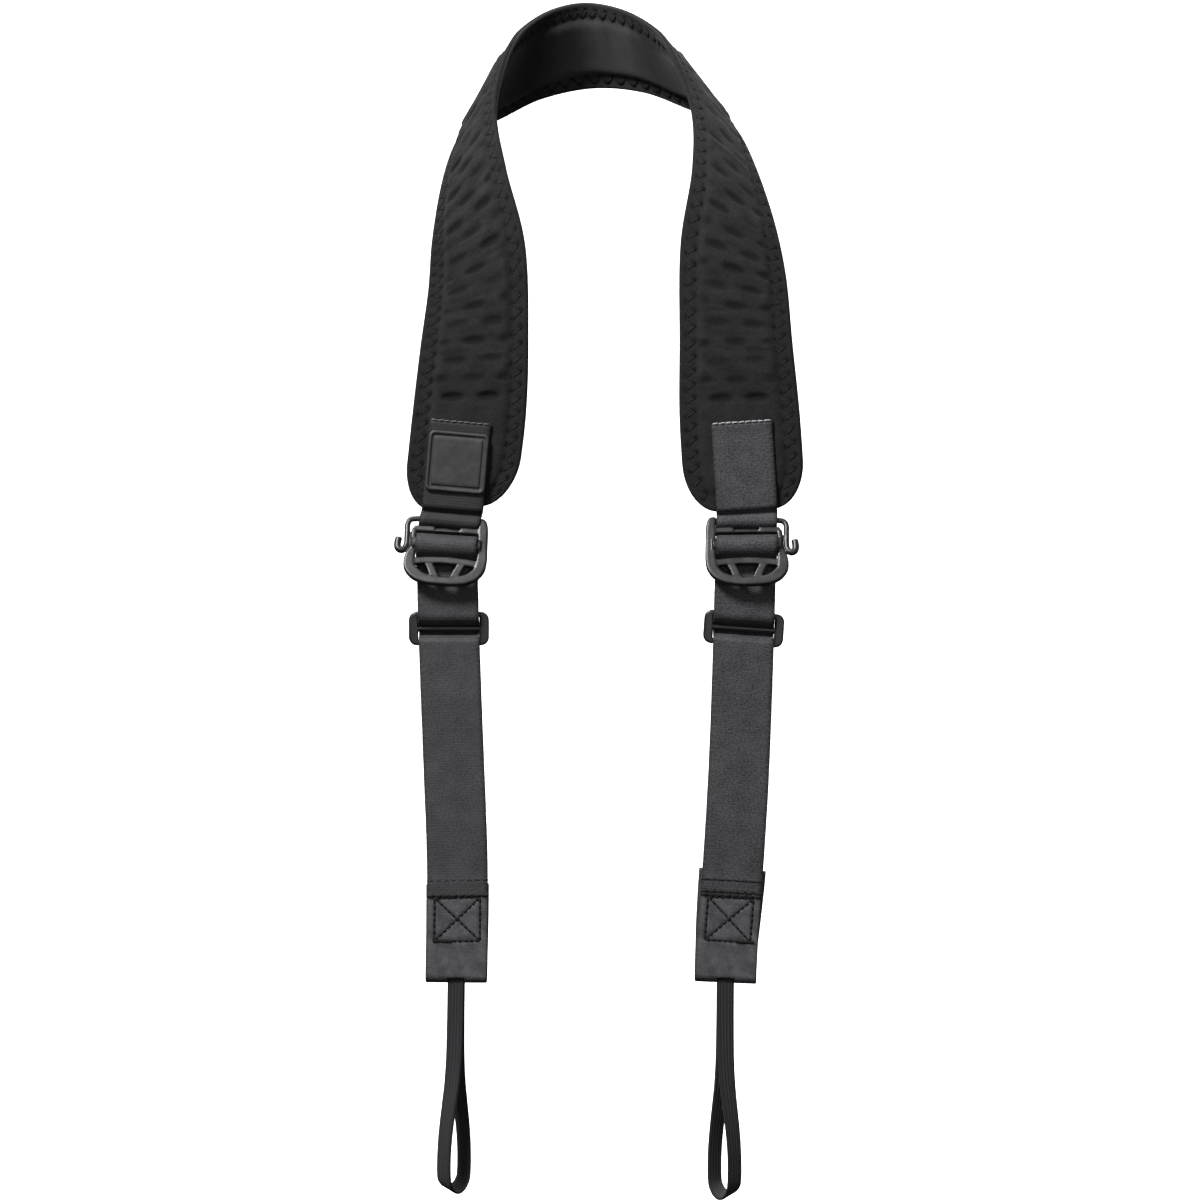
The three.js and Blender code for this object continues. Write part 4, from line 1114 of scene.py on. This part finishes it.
def flat_bar(bm, left, right, front, back, round_by, closed=False):
    """Adds a bar between two lines of points, thickened from front to back and with rounded edges."""
    rows = [[bm.verts.new((x * MM, front * MM, z * MM)) for x, z in line] for line in (left, right)]
    count = len(left) if closed else len(left) - 1
    faces = []
    for k in range(count):
        n = (k + 1) % len(left)
        faces.append(bm.faces.new((rows[0][k], rows[0][n], rows[1][n], rows[1][k])))
    made = bmesh.ops.extrude_face_region(bm, geom=faces)["geom"]
    moved = [item for item in made if isinstance(item, bmesh.types.BMVert)]
    bmesh.ops.translate(bm, verts=moved, vec=(0, (back - front) * MM, 0))
    whole = {face for vert in (*rows[0], *rows[1], *moved) for face in vert.link_faces}
    bmesh.ops.recalc_face_normals(bm, faces=list(whole))
    edges = {edge for face in whole for edge in face.edges}
    sharp = [edge for edge in edges if edge.calc_face_angle(0) > math.radians(50)]
    bmesh.ops.bevel(
        bm, geom=sharp, offset=round_by * MM, offset_type="OFFSET", segments=3, profile=0.5,
        affect="EDGES", material=-1,
    )


def round_bar(bm, line, radius, tip_radius):
    """Adds a round rod along a line of points in X and Z, changing to another radius towards its tip."""
    places = smooth_line([(x * MM, z * MM) for x, z in line], ROD_STEPS)
    steps = len(places) - 1
    angles = [2 * math.pi * k / ROD_SIDES for k in range(ROD_SIDES)]
    rings = []
    for i, place in enumerate(places):
        ahead = (places[min(i + 1, steps)] - places[max(i - 1, 0)]).normalized()
        aside, deep = Vector((-ahead.z, 0, ahead.x)), Vector((0, 1, 0))
        thick = mix(radius, tip_radius, smoothstep(i / steps, 0.5, 0.75))
        rings.append([place + (aside * math.cos(t) + deep * math.sin(t)) * thick for t in angles])
    skin(bm, rings)


def rounded_outline(half_x, half_z, corner, steps):
    """Outline of a rectangle with round corners."""
    ring = []
    for x, z, start in ((1, 1, 0), (-1, 1, 90), (-1, -1, 180), (1, -1, 270)):
        for k in range(steps + 1):
            angle = math.radians(mix(start, start + 90, k / steps))
            across, up = x * (half_x - corner), z * (half_z - corner)
            ring.append((across + corner * math.cos(angle), up + corner * math.sin(angle)))
    return ring


def smooth_line(line, steps_between):
    """A smooth curve through points in X and Z, with steps between each two of them."""
    points = [Vector((x, 0, z)) for x, z in line]
    steps = steps_between * (len(points) - 1)
    return [catmull_rom(points, k / steps) for k in range(steps + 1)]


RIM_OUTER = [
    (-12.6, 12.9), (-15, 12.4), (-16.2, 10.4), (-16.9, 0), (-17, -7), (-16.3, -10.8), (-13.8, -14.4),
    (-9.6, -16.8), (-4, -17.8), (3, -17.9), (9.4, -17.2), (13.8, -15.1), (16.6, -11.4), (17, -7.6),
    (16.2, -4), (14.9, -1.6), (14.9, 4), (14.4, 7.2),
]
RIM_INNER = [
    (-12.3, 10.6), (-12.3, 9.9), (-12.4, 9), (-12.6, 0), (-12.6, -6), (-12.1, -9), (-10, -11.8),
    (-7, -13.4), (-3, -14.3), (3, -14.4), (7, -13.6), (10, -12), (12.3, -9.4), (12.5, -6.6),
    (12.4, -4), (12.5, -1.6), (12.6, 4), (12.4, 6.2),
]
FINGER_LINE = [
    (-14.7, 11.3), (-6, 11.3), (6, 11.3), (13.4, 11.3), (15.5, 10.8), (16.45, 8.9), (16.45, 5.4),
    (16.45, -1), (17.35, -2.7), (18.55, -3.1), (19.75, -2.2), (20.05, -0.4), (19.7, 2.4),
]
RIM_STEPS = 4
ROD_STEPS = 6
ROD_SIDES = 12
BUCKLE_VOXEL = 0.27 * MM
SLIDER_VOXEL = 0.25 * MM


def stand(side, y, z, tilt):
    """Where a leg's hardware stands: its place and lean there, and its own tilt."""
    x, lean = plumb_at(side, z)
    place = Matrix.Translation((x, y, z)) @ Matrix.Rotation(lean, 4, "Y")
    mirror = Matrix.Scale(SIGN[side], 4, (1, 0, 0))
    return place @ mirror @ Matrix.Rotation(-tilt, 4, "X")


def show_moulding(name, bm, place, finish, slot, part, voxel, rounds):
    """Stands a moulding's bars in their place and melts them into one body with soft fillets."""
    bmesh.ops.transform(bm, matrix=place, verts=bm.verts)
    piece = show(name, bm, finish, slot, part)
    remesh = piece.modifiers.new("fuse", "REMESH")
    remesh.mode = "VOXEL"
    remesh.voxel_size = voxel
    remesh.use_smooth_shade = True
    soften = piece.modifiers.new("soften", "SMOOTH")
    soften.factor = 0.5
    soften.iterations = rounds


def hook_buckle(side):
    """Hook buckle: D rim with two struts, bowed bar, roll bar, notched guard bar and the open finger."""
    bm = bmesh.new()
    outer, inner = ([place.xz for place in smooth_line(rim, RIM_STEPS)] for rim in (RIM_OUTER, RIM_INNER))
    flat_bar(bm, outer, inner, -1.5, 1.5, 0.7)
    for near, far in ((-14, -5.1), (5.1, 13.8)):
        flat_bar(bm, [(near, 8), (far, 8)], [(near, 5.5), (far, 5.5)], -1.3, 3, 0.45)
    flat_bar(bm, [(-6, 8.9), (6, 8.9)], [(-6, 5.5), (6, 5.5)], 0.5, 3, 0.3)
    flat_bar(bm, [(-6, 6.9), (6, 6.9)], [(-6, 5.7), (6, 5.7)], -1.1, 1.5, 0.3)
    bow = [(x, -5.4 - 1.1 * (x / 13.4) ** 2) for x in (-13.8, -9, -4.5, 0, 4.5, 9, 13.8)]
    flat_bar(bm, bow, [(x, z - 3.1) for x, z in bow], -1.35, 1.35, 0.6)
    for way in (-1, 1):
        inner = [(way * 5.4, -7.6), (way * 3.6, -11), (way * 1.8, -15)]
        outer = [(way * 9, -7.6), (way * 7.2, -11), (way * 5.6, -15)]
        flat_bar(bm, inner, outer, -1.2, 1.2, 0.45)
    round_bar(bm, [(-14, 0), (0, 0), (14, 0)], ROLL_BAR_RADIUS, ROLL_BAR_RADIUS)
    round_bar(bm, FINGER_LINE, FINGER_RADIUS, LIP_RADIUS)
    place = stand(side, ROLL_Y, ROLL_Z, BUCKLE_TILT)
    part = f"{side}_hook_buckle"
    show_moulding(f"{side}_buckle", bm, place, BUCKLE, "buckle_plastic", part, BUCKLE_VOXEL, 5)


def slider(side):
    """Three-bar slider with rounded corners."""
    bm = bmesh.new()
    half_x, half_z = SLIDER_WIDTH / MM / 2, SLIDER_HEIGHT / MM / 2
    slot, rail = SLIDER_SLOT / MM / 2, half_z - SLIDER_RAIL / MM
    outer = rounded_outline(half_x, half_z, SLIDER_CORNER / MM, 4)
    inner = rounded_outline(slot, rail, SLIDER_SLOT_CORNER / MM, 4)
    flat_bar(bm, outer, inner, -1, 1, 0.85, closed=True)
    bar = SLIDER_CENTRE_BAR / MM / 2
    reach = slot + 0.8
    flat_bar(bm, [(-reach, bar), (reach, bar)], [(-reach, -bar), (reach, -bar)], -bar, bar, 0.4)
    place = stand(side, SLIDER_Y, SLIDER_Z, 0)
    name = f"{side}_three_bar_slider"
    show_moulding(name, bm, place, SLIDER, "slider_plastic", f"{side}_slider", SLIDER_VOXEL, 4)


# Patch rings from its back to the middle of its field: inset from the edge and height, in millimetres
PATCH_RINGS = [
    (0.25, 0), (0, 0.2), (0, 1.1), (0.15, 1.35), (0.5, 1.5), (0.95, 1.5), (1.25, 1.35), (1.35, 0.95),
    (1.6, 0.9), (2.2, 0.9), (2.4, 0.95), (2.5, 1.25), (2.8, 1.35), (4, 1.35), (8, 1.35),
]


def label_patch():
    """Moulded patch with a raised rim and a bare field inside it."""
    x, lean = plumb_at("left", PATCH_Z)
    back = LEG_Y - ANCHOR_LIFT - WEBBING_THICK / 2 - 0.05 * MM
    place = Matrix.Translation((x, back, PATCH_Z)) @ Matrix.Rotation(lean, 4, "Y")
    rings = []
    for inset, height in PATCH_RINGS:
        half = PATCH_SIZE / 2 - inset * MM
        corner = max(2.2 * MM - 0.6 * inset * MM, 0.6 * MM)
        outline = rounded_outline(half, half, corner, 5)
        rings.append([place @ Vector((u, -height * MM, v)) for u, v in outline])
    show("left_patch", skin(bmesh.new(), rings), PATCH, "patch_rubber", "left_label_patch")


# Studio

FLOOR_Z = cad_low.z - 0.25
SWEEP = [(-3.5, 0), (1.7, 0), (2.1, 0.08), (2.42, 0.32), (2.6, 0.7), (2.65, 1.2), (2.65, 2.6)]
SWEEP_HALF = 3.5
STRAP_MIDDLE = Vector((0, -0.07, -0.2))
PAPER_MIDDLE = Vector((0, 2.65, -0.2))

# Lamps: name, place, what it points at, size in metres and watts
LAMPS = [
    ("key", (-0.75, -1.05, 0.98), STRAP_MIDDLE, 0.45, 58),
    ("fill", (0.35, -1.7, -0.15), STRAP_MIDDLE, 1.2, 4),
    ("back", (0.7, 1.5, 0.9), STRAP_MIDDLE, 1.2, 22),
    ("paper", (0, 0.7, 1.9), PAPER_MIDDLE, 2.2, 85),
]


def paper_sweep():
    """Paper sweep under and behind the strap, kept out of its reflections."""
    bm = bmesh.new()
    line = [bm.verts.new((-SWEEP_HALF, y, FLOOR_Z + z)) for y, z in SWEEP]
    edges = [bm.edges.new(pair) for pair in zip(line, line[1:])]
    made = bmesh.ops.extrude_edge_only(bm, edges=edges)["geom"]
    moved = [item for item in made if isinstance(item, bmesh.types.BMVert)]
    bmesh.ops.translate(bm, verts=moved, vec=(2 * SWEEP_HALF, 0, 0))
    sweep = add_mesh("paper_sweep", bm, studio_paper())
    rounding = sweep.modifiers.new("round", "SUBSURF")
    rounding.levels = 2
    rounding.render_levels = 2
    sweep.visible_diffuse = False
    sweep.visible_glossy = False


def studio_light():
    """White ground for the camera, dim light from above all round, and the lamps."""
    world = bpy.data.worlds.new("pale_studio")
    world.use_nodes = True
    tree = world.node_tree
    seen = node(tree, "LightPath").node.outputs["Is Camera Ray"]
    way = node(tree, "TexCoord").node.outputs["Generated"]
    height = node(tree, "SeparateXYZ", {}, Vector=way).node.outputs[2]
    lit = ramp(height, -0.7, 0.7, 0.03, 0.3)
    backing = tree.nodes["Background"]
    backing.inputs["Color"].default_value = linear("ffffff")
    both = math_node("MAXIMUM", times(seen, 0.95), lit)
    tree.links.new(both, backing.inputs["Strength"])
    bpy.context.scene.world = world

    for name, place, target, size, watts in LAMPS:
        light = bpy.data.lights.new(name, "AREA")
        light.shape = "DISK"
        light.size = size
        light.energy = watts
        holder = add_object(name, light)
        holder.location = place
        holder.rotation_euler = (target - Vector(place)).to_track_quat("-Z", "Y").to_euler()
    bpy.context.scene.view_settings.view_transform = "Standard"


set_camera()
for leg in SIDES:
    tape_loop(leg)
collar_layer(
    "collar_face", face_lift, 1, FACE_UNDERSIDE, 0.75 * MM, 28, PAD, "pad_fabric", "pad_face",
)
collar_layer(
    "collar_lining", lining_lift, -1, -LINING_GAP, 1 * MM, 14, LINING, "lining_fabric", "pad_lining",
)
collar_zigzag()
for leg in SIDES:
    anchor_webbing(leg)
    anchor_hem_stitches(leg)
    hook_buckle(leg)
    strap_webbing(leg)
    slider(leg)
    end_tab(leg)
    tab_stitches(leg)
    tab_top_thread(leg)
label_patch()
paper_sweep()
studio_light()
